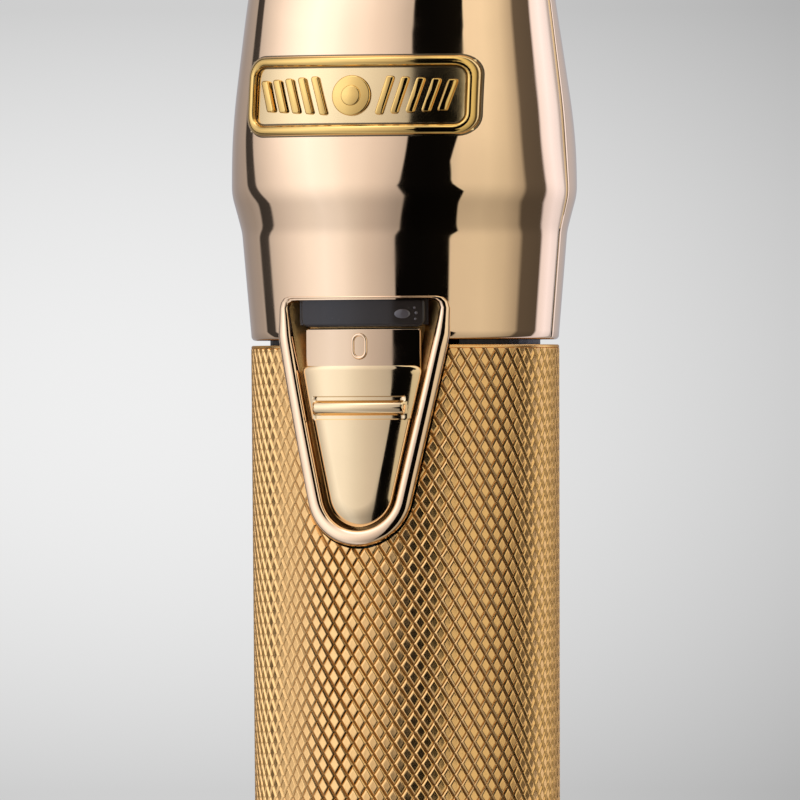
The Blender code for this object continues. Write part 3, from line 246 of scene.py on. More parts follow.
def knurl_plating(name, colour, deep, crest, grit=1.0):
    """Plating that is bright on the diamonds and dull in the grooves, where painted shade darkens it with
    depth, with a few patches and specks of dirt.
    deep and crest are depths against the tapering barrel, below 0 inside it."""

    def build(tree):
        x, y, z = tree.axes(tree.place())
        taper = (z - BARREL_LOW.z) * (0.3 * MM / (BARREL_HIGH.z - BARREL_LOW.z))
        lift = (x * x + y * y) ** 0.5 - taper - (BARREL_RADIUS - 0.3 * MM)
        groove = 1.0 - lift.step(deep, crest)
        grain = tree.noise(1400.0, 3.0, 0.65)
        speck = tree.noise(3600.0, 2.0, 0.6)
        patch = tree.noise(60.0, 3.0, 0.55)
        # Painted shade: the colour darkens with depth below the crest, in the grooves and in the recess; the
        # patches and specks are dirt.
        groove_shade_and_dirt = (groove * (patch * 0.6 + 0.5) + speck.step(0.5, 0.8) * 0.25).clamp()
        return {
            "Base Color": tree.tone(groove_shade_and_dirt, colour, scaled(colour, 0.55)),
            "Roughness": grain * 0.20 + groove * 0.22 + 0.14,
            "Normal": tree.bump(grain + speck * 0.5, 0.00002, 0.5 * grit),
        }

    return finish(name, {"Metallic": 1.0, "Specular Tint": (0.70, 0.55, 0.38, 1.0)}, build)


def ground_steel(name, colour, roughness, along):
    """Ground steel with fine grinding lines across one direction."""

    def build(tree):
        lines = tree.noise(1.0, 4.0, 0.7, tree.stretched([9000.0 * a + 200.0 for a in along]))
        stain = tree.noise(180.0, 4.0, 0.6)
        return {
            "Base Color": tree.tone(stain, scaled(colour, 0.85), scaled(colour, 1.1)),
            "Roughness": lines * 0.22 + stain * 0.08 + roughness,
            "Normal": tree.bump(lines, 0.00001, 0.4),
        }

    return finish(name, {"Metallic": 1.0}, build)


def moulded(name, colour, roughness, coat=0.0, grain_scale=2200.0):
    """Moulded plastic or rubber with a fine grain and faint wear."""

    def build(tree):
        grain = tree.noise(grain_scale, 2.0, 0.5)
        wear = tree.noise(140.0, 4.0, 0.6).step(0.5, 0.75)
        return {
            "Base Color": tree.tone(wear * 0.5, colour, scaled(colour, 1.5)),
            "Roughness": wear * 0.12 + grain * 0.1 + roughness - 0.05,
            "Normal": tree.bump(grain, 0.00003, 0.5),
        }

    return finish(name, {"Metallic": 0.0, "Coat Weight": coat, "Coat Roughness": 0.04}, build)


def smoked_lens(name, colour):
    """Smoked clear plastic: dark, glossy, with faint flow lines and dust inside."""

    def build(tree):
        flow = tree.noise(1.0, 3.0, 0.5, tree.stretched((420.0, 420.0, 90.0)))
        dust = tree.noise(2600.0, 1.0, 0.5).step(0.70, 0.76)
        return {
            "Base Color": tree.tone((flow * 0.5 + dust * 0.5).clamp(), colour, scaled(colour, 2.6)),
            "Roughness": flow * 0.10 + 0.10,
        }

    fixed = {"Specular IOR Level": 0.4, "Coat Weight": 0.1, "Coat Roughness": 0.05, "IOR": 1.45}
    return finish(name, fixed, build)


def board_mask(name, colour):
    """Solder mask with copper traces showing through as a lighter pattern."""

    def build(tree):
        where = tree.stretched((700.0, 700.0, 350.0))
        settings = {"feature": "DISTANCE_TO_EDGE", "distance": "EUCLIDEAN"}
        edge = tree.node("ShaderNodeTexVoronoi", settings, {"Vector": where, "Scale": 1.0}, "Distance")
        trace = 1.0 - edge.step(0.03, 0.10)
        return {
            "Base Color": tree.tone(trace, colour, scaled(colour, 2.2)),
            "Roughness": trace * 0.1 + 0.3,
            "Normal": tree.bump(trace, 0.00004, 0.5),
        }

    return finish(name, {"Coat Weight": 0.4}, build)


def wound_copper(name, colour):
    """Enamelled copper wire in tight layers."""

    def build(tree):
        turns = tree.node(
            "ShaderNodeTexWave",
            {"wave_type": "BANDS", "bands_direction": "Z"},
            {"Vector": tree.place(), "Scale": 420.0, "Distortion": 0.6, "Detail": 2.0},
            "Fac",
        )
        return {
            "Base Color": tree.tone(turns, scaled(colour, 0.5), colour),
            "Roughness": turns * 0.15 + 0.25,
            "Normal": tree.bump(turns, 0.0001, 0.8),
        }

    return finish(name, {"Metallic": 1.0}, build)


def studio_floor(name, colour):
    """Pale matt floor with a faint mottle."""

    def build(tree):
        mottle = tree.noise(6.0, 3.0, 0.5)
        return {
            "Base Color": tree.tone(mottle, scaled(colour, 0.98), colour),
            "Roughness": mottle * 0.1 + 0.55,
        }

    return finish(name, {}, build)


def material(name):
    """The finish of this name, made when it is first asked for."""
    if name in bpy.data.materials:
        return bpy.data.materials[name]
    colours = bpy.context.scene.clipper_colours
    shell, barrel, trim = (tuple(c) for c in (colours.shell, colours.barrel, colours.trim))
    depth = bpy.context.scene.clipper_sizes.knurl_depth
    makers = {
        "shell_plating": lambda: plating(name, shell, 0.055),
        # The pad's plating is the shell's made darker: painted shade for the pad sunk in the recess.
        "pad_plating_painted_shade": lambda: plating(name, scaled(shell, 0.76), 0.09),
        # The knurl plating, a little brighter, with painted shade darkening all of it that lies below the
        # barrel's face: the recess's floor and inner wall.
        "recess_plating_painted_shade": lambda: knurl_plating(name, scaled(barrel, 1.15), 0.0, 0.0005, 1.6),
        "trim_plating": lambda: plating(name, trim, 0.09),
        "badge_plating": lambda: plating(name, (trim[0] * 0.95, trim[1] * 0.82, trim[2] * 0.45), 0.09),
        "badge_field_plating": lambda: plating(name, (trim[0], trim[1], trim[2] * 0.92), 0.14),
        # A dark copy of the trim, for the lines of painted shade and painted shadow round the badge's border.
        "badge_shade_plating": lambda: plating(name, scaled(trim, 0.22), 0.3),
        "barrel_plating": lambda: knurl_plating(name, barrel, -0.95 * depth, -0.45 * depth),
        "shaft_steel": lambda: ground_steel(name, (0.62, 0.62, 0.64), 0.12, (0.0, 0.0, 1.0)),
        "blade_steel": lambda: ground_steel(name, (0.66, 0.66, 0.67), 0.12, (1.0, 0.0, 0.0)),
        "blackened_steel": lambda: ground_steel(name, (0.09, 0.09, 0.10), 0.22, (0.0, 0.6, 0.6)),
        "cutter_steel": lambda: ground_steel(name, (0.11, 0.11, 0.12), 0.16, (1.0, 0.0, 0.0)),
        "matt_plastic": lambda: moulded(name, (0.018, 0.018, 0.018), 0.42),
        "seal_rubber": lambda: moulded(name, (0.022, 0.022, 0.022), 0.75),
        "smoked_window": lambda: smoked_lens(name, tuple(colours.lens)),
        "board_mask": lambda: board_mask(name, (0.02, 0.16, 0.06)),
        "cell_sleeve": lambda: moulded(name, (0.04, 0.17, 0.40), 0.35, 0.3, 700.0),
        "nickel_plate": lambda: ground_steel(name, (0.75, 0.73, 0.68), 0.16, (0.0, 1.0, 0.0)),
        "copper_wire": lambda: wound_copper(name, (0.78, 0.38, 0.20)),
        "red_insulation": lambda: moulded(name, (0.55, 0.03, 0.03), 0.4),
        "lamp_resin": lambda: moulded(name, (0.10, 0.085, 0.085), 0.12, 0.6, 900.0),
        "led_resin": lambda: moulded(name, (0.8, 0.8, 0.75), 0.15, 0.8, 900.0),
        "studio_floor": lambda: studio_floor(name, tuple(colours.floor)),
    }
    return makers[name]()


# ---------------------------------------------------------------- meshes

SHARP_ANGLE = 35.0


def grid_faces(rows, columns, wrap_rows, wrap_columns):
    """Quads between neighbouring points of a grid, closed along either way if asked."""
    faces = []
    for i in range(rows if wrap_rows else rows - 1):
        here, ahead = i * columns, ((i + 1) % rows) * columns
        for j in range(columns if wrap_columns else columns - 1):
            k = (j + 1) % columns
            faces.append((here + j, here + k, ahead + k, ahead + j))
    return faces


def skin(name, grid, finish_name, wrap_rows=False, wrap_columns=True, caps=False, sharp=SHARP_ANGLE):
    """A mesh object through a grid of points, smooth except at edges sharper than this many degrees,
    with flat caps on its first and last row if asked."""
    rows, columns = len(grid), len(grid[0])
    faces = grid_faces(rows, columns, wrap_rows, wrap_columns)
    if caps:
        faces.append(tuple(range(columns))[::-1])
        faces.append(tuple(range((rows - 1) * columns, rows * columns)))
    mesh = bpy.data.meshes.new(name)
    mesh.from_pydata([tuple(p) for row in grid for p in row], [], faces)
    mesh.validate()
    bm = bmesh.new()
    bm.from_mesh(mesh)
    bmesh.ops.remove_doubles(bm, verts=bm.verts, dist=1e-7)
    bmesh.ops.recalc_face_normals(bm, faces=bm.faces)
    return finished(name, bm, mesh, finish_name, sharp)


def finished(name, bm, mesh, finish_name, sharp):
    """Writes the bmesh to the mesh and links an object with this finish."""
    bm.to_mesh(mesh)
    bm.free()
    mesh.shade_smooth()
    mesh.set_sharp_from_angle(angle=math.radians(sharp))
    obj = bpy.data.objects.new(name, mesh)
    bpy.context.scene.collection.objects.link(obj)
    if finish_name:
        mesh.materials.append(material(finish_name))
    return obj


def turned(name, profile, finish_name, segments=160, centre=(0.0, 0.0)):
    """A closed (radius, height) profile turned about an upright axis."""
    x, y = centre
    around = [2 * math.pi * k / segments for k in range(segments)]
    grid = [[(x + r * math.cos(a), y + r * math.sin(a), h) for a in around] for r, h in profile]
    return skin(name, grid, finish_name, wrap_rows=True)


def carve(obj, cutter):
    """Cuts the cutter out of obj for good, and removes the cutter."""
    modifier = obj.modifiers.new("carve", "BOOLEAN")
    modifier.operation = "DIFFERENCE"
    modifier.solver = "EXACT"
    modifier.object = cutter
    bpy.context.view_layer.update()
    evaluated = obj.evaluated_get(bpy.context.evaluated_depsgraph_get())
    mesh = bpy.data.meshes.new_from_object(evaluated)
    obj.modifiers.clear()
    mesh.name = obj.data.name
    obj.data = mesh
    bpy.data.objects.remove(cutter)
    mesh.set_sharp_from_angle(angle=math.radians(SHARP_ANGLE))


def closed_bead(name, path, radius, finish_name):
    """A round bead along a closed path of points."""
    data = bpy.data.curves.new(name, "CURVE")
    data.dimensions = "3D"
    data.bevel_depth = radius
    data.bevel_resolution = 4
    spline = data.splines.new("POLY")
    spline.points.add(len(path) - 1)
    spline.use_cyclic_u = True
    for point, place in zip(spline.points, path):
        point.co = (*place, 1.0)
    obj = bpy.data.objects.new(name, data)
    data.materials.append(material(finish_name))
    bpy.context.scene.collection.objects.link(obj)
    return obj


def rounded(corners, closed=True, steps=10):
    """A path through (x, y, radius) corners, with each rounded corner as an arc."""
    points = []
    count = len(corners)
    for i, (x, y, radius) in enumerate(corners):
        here = Vector((x, y))
        if radius <= 0 or (not closed and i in (0, count - 1)):
            points.append(here)
            continue
        before = (Vector(corners[i - 1][:2]) - here).normalized()
        after = (Vector(corners[(i + 1) % count][:2]) - here).normalized()
        half = before.angle(after) / 2
        centre = here + (before + after).normalized() * (radius / math.sin(half))
        start = here + before * (radius / math.tan(half)) - centre
        end = here + after * (radius / math.tan(half)) - centre
        sweep = start.angle(end)
        for k in range(steps + 1):
            a, b = math.sin(sweep * (1 - k / steps)), math.sin(sweep * k / steps)
            points.append(centre + (start * a + end * b) / math.sin(sweep))
    return points


def spread(path, count):
    """The same path as evenly spaced points."""
    path = np.array([tuple(p) for p in path])
    steps = np.r_[0.0, np.cumsum(np.linalg.norm(np.diff(path, axis=0), axis=1))]
    where = np.linspace(0.0, steps[-1], count)
    return np.stack([np.interp(where, steps, path[:, k]) for k in range(path.shape[1])], axis=1)


def on_barrel(along, height, radius):
    """A point at this arc length from the front line, measured on the barrel's radius."""
    angle = along / BARREL_RADIUS
    return (radius * math.sin(angle), -radius * math.cos(angle), height)


def barrel_sheet(name, heights, half, radius, columns, finish_name):
    """A sheet curved like the barrel; half(height) is its half width along the curve."""
    shares = [float(share) for share in np.linspace(-1, 1, columns)]
    grid = [[on_barrel(share * half(z), z, radius) for share in shares] for z in map(float, heights)]
    return skin(name, grid, finish_name, wrap_columns=False)


def barrel_rim(name, layers, count, finish_name):
    """The rim of a plate curved like the barrel; layers are (flat outline, radius)."""
    grid = []
    for outline, radius in layers:
        ring = spread(list(outline) + [outline[0]], count + 1)[:-1]
        grid.append([on_barrel(float(x), float(z), radius) for x, z in ring])
    return skin(name, grid, finish_name, sharp=50.0)


# ---------------------------------------------------------------- head

HEAD_HEIGHT = HEAD_TOP - RIM
BLADE_TILT = math.radians(20.0)
REAR_EASE = 0.04 * MM  # keeps the smooth rear inside the part's faceted one
PARTING_GAP = 0.03 * MM
EDGE_ROLL = 0.35 * MM


def head_paths():
    """Half width at the sides, half depth at the front and at the rear, by height above the rim."""
    ridge = (17.0 * MM, RIM_RADIUS + 2.07 * MM, 7.0 * MM)
    low = [(0.0, RIM_RADIUS, 0.0), (12.6 * MM, RIM_RADIUS + 1.07 * MM, 6.0 * MM), ridge]
    bend = (26.9 * MM, RIM_RADIUS + 1.44 * MM, 90.0 * MM)
    rear_bend = (HEAD_HEIGHT - 26.0 * MM, RIM_RADIUS + 1.81 * MM, 25.0 * MM)
    front_bend = (HEAD_HEIGHT - 8.4 * MM, RIM_RADIUS - 0.43 * MM, 25.0 * MM)
    rear_top = rear_bend[1] - (HEAD_HEIGHT - rear_bend[0]) * math.tan(BLADE_TILT)
    side = low + [bend, (HEAD_HEIGHT, RIM_RADIUS - 1.13 * MM, 0.0)]
    front = low + [bend, front_bend, (HEAD_HEIGHT, RIM_RADIUS - 4.73 * MM, 0.0)]
    rear = low + [rear_bend, (HEAD_HEIGHT, rear_top, 0.0)]
    rear = [(height, depth - REAR_EASE, radius) for height, depth, radius in rear]
    made = [rounded(path, closed=False, steps=12) for path in (side, front, rear)]
    return [np.array([tuple(p) for p in path]) for path in made]


HEAD_SIDE, HEAD_FRONT, HEAD_REAR = head_paths()


def level(path, height):
    """The path's reach at this height."""
    return float(np.interp(height, path[:, 0], path[:, 1]))


def head_power(height):
    """How square the head's section is at this height above its rim: 2 is an ellipse."""
    blend = min(1.0, max(0.0, (height - 12.0 * MM) / (12.0 * MM)))
    return 2.0 + 0.3 * blend * blend * (3 - 2 * blend)


def head_point(angle, height, lift=0.0):
    """A point on the head at this angle from the front and height above the rim."""
    power = head_power(height)
    sine, cosine = math.sin(angle), math.cos(angle)
    width = level(HEAD_SIDE, height) + lift
    depth = level(HEAD_FRONT if cosine > 0 else HEAD_REAR, height) + lift
    x = width * math.copysign(abs(sine) ** (2 / power), sine)
    y = -depth * math.copysign(abs(cosine) ** (2 / power), cosine)
    return (x, y, RIM + height)


def head_front_y(x, height, lift=0.0):
    """How far forward the head's front is at this x and height above the rim."""
    power = head_power(height)
    width = level(HEAD_SIDE, height) + lift
    front = level(HEAD_FRONT, height) + lift
    return -front * max(0.0, 1 - (abs(x) / width) ** power) ** (1 / power)


def shell_half(name, front):
    """One shell of the head, with rolled edges at the rim, the mouth and the parting line."""
    wall = bpy.context.scene.clipper_sizes.shell_wall
    rolled = [(0.0, EDGE_ROLL), (0.10 * MM, 0.14 * MM), (EDGE_ROLL, 0.0)]
    heights = rolled + [(float(h), 0.0) for h in np.linspace(1.0 * MM, HEAD_HEIGHT - 1.0 * MM, 110)]
    heights += [(HEAD_HEIGHT - height, inset) for height, inset in rolled[::-1]]
    middle = 0.0 if front else math.pi
    grid = []
    for height, inset in heights:
        turn = math.pi / 2 - PARTING_GAP / level(HEAD_SIDE, height)
        near = [-turn, -turn + 0.008, -turn + 0.02]
        angles = np.r_[near, np.linspace(-turn + 0.04, turn - 0.04, 121), [-a for a in near[::-1]]]
        sink = np.zeros(len(angles))
        sink[[0, -1]] = 0.30 * MM
        sink[[1, -2]] = 0.08 * MM
        outer = [head_point(middle + a, height, -s - inset) for a, s in zip(angles, sink)]
        inner = [head_point(middle + a, height, -wall) for a in angles[::4]]
        grid.append(outer + inner[::-1])
    return skin(name, grid, "shell_plating", caps=True)


SHIELD_TOP = RIM + 5.1 * MM
SHIELD_BOTTOM = RIM - 24.0 * MM
SHIELD_ANGLE = math.radians(13.3)
SHIELD_CORNER = 1.5 * MM
SHIELD_LIP = 0.3 * MM
SHIELD_END = 6.5 * MM
SHIELD_BORDER = 1.9 * MM
SHIELD_CENTRE = SHIELD_BOTTOM + SHIELD_END  # height of the middle of its round foot
SHIELD_TILT = math.tan(SHIELD_ANGLE)
INNER_CORNER = 1.0 * MM

# The switch's faces, as distances from the barrel's axis.
LENS_FACE = BARREL_RADIUS - 0.4 * MM
PAD_FACE = BARREL_RADIUS - 0.7 * MM
HOUSING_FACE = BARREL_RADIUS - 0.75 * MM
RECESS_BED = BARREL_RADIUS - 2.2 * MM
PAD_HALF_WIDTH, LENS_HALF_WIDTH, HOUSING_HALF_WIDTH = 7.6 * MM, 8.1 * MM, 8.5 * MM
BUTTON_GAP = 0.4 * MM


def shield_reach(end, height):
    """Half width of a shield whose foot has this radius, at a height on its straight sides."""
    return end / math.cos(SHIELD_ANGLE) + (height - SHIELD_CENTRE) * SHIELD_TILT


def shield_outline(inset, top, corner, shoulder=None, count=60):
    """Right half of a shield outline, (along, height) from the middle of its top to its foot."""
    end = SHIELD_END - inset
    reach = shield_reach(end, min(top, shoulder or top))
    upper = [(0.0, top, 0.0), (reach, top, corner)]
    if shoulder:
        upper.append((reach, shoulder, 3.0 * MM))
    arc = []
    for k in range(17):
        angle = SHIELD_ANGLE + (math.pi / 2 - SHIELD_ANGLE) * k / 16
        arc.append((end * math.cos(angle), SHIELD_CENTRE - end * math.sin(angle)))
    sides = [tuple(p) for p in rounded(upper + [(*arc[0], 0.0)], closed=False)]
    corner_at = sides.index(min(sides, key=lambda p: abs(p[1] - (top - corner))))
    parts = [sides[: corner_at + 1], sides[corner_at:], arc]
    shares = [count // 4, count // 2, count - count // 4 - count // 2]
    points = []
    for part, share in zip(parts, shares):
        points += [tuple(p) for p in spread(part, share + 1)][(1 if points else 0) :]
    return points


def both_sides(half):
    """A closed outline from its right half."""
    return half + [(-a, h) for a, h in half[-2:0:-1]]


def border_bead(name):
    """The rounded border of the shield: proud of the barrel, and running into the head at its top."""
    crest = BARREL_RADIUS + bpy.context.scene.clipper_sizes.border_crest
    outer = both_sides(shield_outline(0.0, SHIELD_TOP, SHIELD_CORNER, RIM + 0.6 * MM))
    inner = both_sides(shield_outline(SHIELD_BORDER, SHIELD_TOP - SHIELD_LIP, INNER_CORNER))
    # (share of the border's width, share of its rise below the crest)
    crown = [(0.03, 0.7), (0.09, 0.42), (0.18, 0.18), (0.30, 0.05), (0.44, 0.0), (0.60, 0.0)]
    crown += [(0.76, 0.06), (0.88, 0.2), (0.96, 0.42), (1.0, 0.7)]
    grid = []
    for (a0, h0), (a1, h1) in zip(outer, inner):
        height = max(0.0, h0 - RIM)
        flush = level(HEAD_SIDE, height)
        blend = min(1.0, height / (SHIELD_TOP - RIM)) ** 1.2
        top = crest + (flush + 0.12 * MM - crest) * blend
        rise = min(0.95 * MM, top - flush + 0.3 * MM)
        shape = [(0.0, BARREL_RADIUS - 1.2 * MM), (0.0, top - rise)]
        shape += [(share, top - fall * rise) for share, fall in crown]
        shape += [(1.0, top - 1.1 * MM), (0.93, top - 1.1 * MM)]
        grid.append([on_barrel(a0 + (a1 - a0) * s, h0 + (h1 - h0) * s, r) for s, r in shape])
    return skin(name, grid, "shell_plating", wrap_rows=True, wrap_columns=True, sharp=60.0)


def recess_wall(name):
    """The rough inner wall of the shield's border, from the bead down to the recess's floor."""
    made = both_sides(shield_outline(SHIELD_BORDER, SHIELD_TOP - SHIELD_LIP, INNER_CORNER, count=160))
    low, high = RECESS_BED - 0.1 * MM, BARREL_RADIUS - 0.15 * MM
    rng = np.random.default_rng(5)
    grid = []
    for share in np.linspace(0.0, 1.0, 9):
        dents = rng.normal(0.0, 0.035 * MM, len(made)) * (0.0 if share in (0.0, 1.0) else 1.0)
        slope = 0.8 * MM * (1 - share)
        row = []
        for (a, h), dent in zip(made, dents):
            shrink = 1 - (slope + abs(dent)) / (8.0 * MM)
            row.append(on_barrel(a * shrink, h, low + (high - low) * share))
        grid.append(row)
    # Its finish darkens it with painted shade of the recess.
    return skin(name, grid, "recess_plating_painted_shade", sharp=20.0)


def shield_cutter(inset, top):
    """A block of the shield's outline, right through the barrel's and the shell's wall."""
    outline = both_sides(shield_outline(inset, top, 1.6 * MM, RIM + 1.6 * MM))
    depths = (BARREL_RADIUS - 8.0 * MM, BARREL_RADIUS + 6.0 * MM)
    grid = [[on_barrel(a, h, r) for a, h in outline] for r in depths]
    return skin("shield_cutter", grid, None, caps=True)


BADGE_CORNER = 2.2 * MM
BADGE_MIDDLE = (BADGE_LOW.z + BADGE_HIGH.z) / 2


def badge_surface(x, z, lift):
    """The point this far in front of the head, straight above (x, z)."""
    return (x, head_front_y(x, z - RIM, lift), z)


def badge_outline(inset, corner):
    """The badge's rounded rectangle as 160 (x, z) points."""
    half = (BADGE_HIGH.x - BADGE_LOW.x) / 2 - inset
    low, high = BADGE_LOW.z + inset, BADGE_HIGH.z - inset
    corners = [(half, low), (half, high), (-half, high), (-half, low)]
    path = rounded([(x, z, corner) for x, z in corners])
    return [tuple(p) for p in spread(list(path) + [path[0]], 161)][:-1]


def badge_ring(name, steps, finish_name, sharp=SHARP_ANGLE):
    """A band round the badge; steps are (inset, corner, lift) of its cross-section."""
    grid = []
    for inset, corner, lift in steps:
        grid.append([badge_surface(x, z, lift * MM) for x, z in badge_outline(inset, corner)])
    return skin(name, grid, finish_name, sharp=sharp)


def badge_border(name):
    """The rolled border."""
    width = bpy.context.scene.clipper_sizes.badge_border
    rows = [(0.0, 0.05), (0.0, 0.55), (0.07, 0.85), (0.2, 1.04), (0.4, 1.14), (0.6, 1.13), (0.8, 1.0)]
    rows += [(0.93, 0.8), (1.0, 0.5), (1.0, 0.3)]
    steps = [(width * share, BADGE_CORNER - width * share * 0.75, lift) for share, lift in rows]
    return badge_ring(name, steps, "badge_plating", 60.0)


def badge_field(name):
    """The flat field inside the border."""
    half = (BADGE_HIGH.x - BADGE_LOW.x) / 2 - 0.5 * MM
    low, high = BADGE_LOW.z + 0.5 * MM, BADGE_HIGH.z - 0.5 * MM
    grid = []
    for z in np.linspace(low, high, 24):
        grid.append([badge_surface(float(x), float(z), 0.48 * MM) for x in np.linspace(-half, half, 90)])
    return skin(name, grid, "badge_field_plating", wrap_columns=False)


def badge_shade_ring(name, inset, rows):
    """A dark line of painted shade along the badge's border; rows are (further inset in mm, lift)."""
    steps = []
    for more, lift in rows:
        corner = max(0.5 * MM, BADGE_CORNER - inset * 0.75 - more * MM)
        steps.append((inset + more * MM, corner, lift))
    return badge_ring(name, steps, "badge_shade_plating")


def relief_piece(name, outline, low, high, roll=0.18 * MM):
    """A raised shape on the badge: its outline is (x, z) points, with a rounded upper edge."""
    centre = np.mean(np.array(outline), axis=0)
    points = np.array(outline)
    ahead, behind = np.roll(points, -1, axis=0), np.roll(points, 1, axis=0)
    along = ahead - behind
    normal = np.stack([along[:, 1], -along[:, 0]], axis=1)
    normal /= np.linalg.norm(normal, axis=1)[:, None]
    if np.sum(normal * (points - centre)) < 0:
        normal = -normal
    grid = []
    for inset, lift in ((0.0, low), (0.0, high - roll), (roll * 0.3, high - roll * 0.3), (roll, high)):
        ring = points - normal * inset
        grid.append([badge_surface(float(x), float(z), lift) for x, z in ring])
    return skin(name, grid, "badge_plating", caps=True, sharp=50.0)


def slanted_bar(middle, half_width, half_height, slant, corner):
    """Outline of a bar that leans by slant times its height."""
    path = []
    for a, b in ((-1, -1), (1, -1), (1, 1), (-1, 1)):
        x = middle + a * half_width + b * half_height * slant
        path.append((x, BADGE_MIDDLE + b * half_height, corner))
    return [tuple(p) for p in rounded(path, steps=4)]


def disc_outline(radius):
    """Outline of a round disc in the badge's middle."""
    angles = np.linspace(0, 2 * math.pi, 48, endpoint=False)
    return [(radius * math.cos(a), BADGE_MIDDLE + radius * math.sin(a)) for a in angles]


def badge_relief():
    """A plain ornament: slanted bars on both sides of two round discs."""
    made = []
    low, high = 0.4 * MM, 0.95 * MM
    for side, label in ((-1, "left"), (1, "right")):
        for k in range(5):
            middle, tall = side * (4.0 + 1.75 * k) * MM, (2.25 - 0.10 * k) * MM
            bar = slanted_bar(middle, 0.5 * MM, tall, 0.30 * side, 0.3 * MM)
            made.append(relief_piece(f"badge_bar_{label}_{k}", bar, low, high))
    made.append(relief_piece("badge_ring_outer", disc_outline(2.35 * MM), low, high))
    raised = high + 0.15 * MM
    made.append(relief_piece("badge_ring_inner", disc_outline(1.2 * MM), high - 0.3 * MM, raised))
    return made


# ---------------------------------------------------------------- grip

# Rings of each diamond: shares of its size across its two grooves, and depth below its middle.
KNURL_RINGS = ((0.40, 0.44, 0.0), (0.55, 0.66, -0.006 * MM), (0.66, 0.78, 0.022 * MM))
SHALLOW_GROOVE = 0.62  # share of the knurl's depth in the shallower grooves


def knurl_cells(starts, rise, depth, low, high):
    """Flat knurl as (along, height, sink) points, in metres, and faces; along runs round the barrel."""
    points, faces = [], []
    rows = int((high - low) / (rise / 2)) + 4
    corners = [(0.5, 0.0), (0.0, 0.5), (-0.5, 0.0), (0.0, -0.5)]
    for row in range(-2, rows):
        v = low / rise + row * 0.5
        for k in range(starts):
            u = k + (0.5 if row % 2 else 0.0)
            first = len(points)
            points.append((u, v, 0.0))
            for wide, narrow, sink in KNURL_RINGS:
                for a, b in corners:
                    p, q = (a + b) * wide, (b - a) * narrow
                    points.append((u + (p - q) / 2, v + (p + q) / 2, sink))
            for j, (a, b) in enumerate(corners):
                c, d = corners[(j + 1) % 4]
                shallow = SHALLOW_GROOVE * depth if j % 2 else depth
                for share, sink in ((0.0, depth), (0.2, shallow), (0.8, shallow)):
                    points.append((u + a + (c - a) * share, v + b + (d - b) * share, sink))
            for j in range(4):
                n = (j + 1) % 4
                a, b = first + 9 + j, first + 9 + n
                valley = [first + 13 + (3 * j + i) % 12 for i in range(4)]
                faces.append((first, first + 1 + j, first + 1 + n))
                faces.append((first + 1 + j, first + 5 + j, first + 5 + n, first + 1 + n))
                faces.append((first + 5 + j, a, b, first + 5 + n))
                faces.append((a, valley[0], valley[1]))
                faces.append((a, valley[1], valley[2], b))
                faces.append((b, valley[2], valley[3]))
    flat = np.array(points)
    flat[:, 0] *= 2 * math.pi * BARREL_RADIUS / starts
    flat[:, 1] *= rise
    return flat, faces


BARREL_TAPER = 0.3 * MM


def barrel_radius(height):
    """Radius of the barrel at this height; it narrows a little towards its foot."""
    share = (height - BARREL_LOW.z) / (BARREL_HIGH.z - BARREL_LOW.z)
    return BARREL_RADIUS - BARREL_TAPER * (1 - share)


def cut_flat(bm, point, normal, box=None):
    """Adds an edge along a plane of the flat knurl, only to faces near the box if there is one."""
    geometry = list(bm.faces)
    if box:
        (x0, y0), (x1, y1) = box
        near = []
        for face in bm.faces:
            middle = face.calc_center_median()
            if x0 < middle.x < x1 and y0 < middle.y < y1:
                near.append(face)
        geometry = near
    edges = {e for f in geometry for e in f.edges}
    verts = {v for f in geometry for v in f.verts}
    bmesh.ops.bisect_plane(
        bm, geom=list(verts) + list(edges) + geometry, dist=1e-8, plane_co=point, plane_no=normal
    )


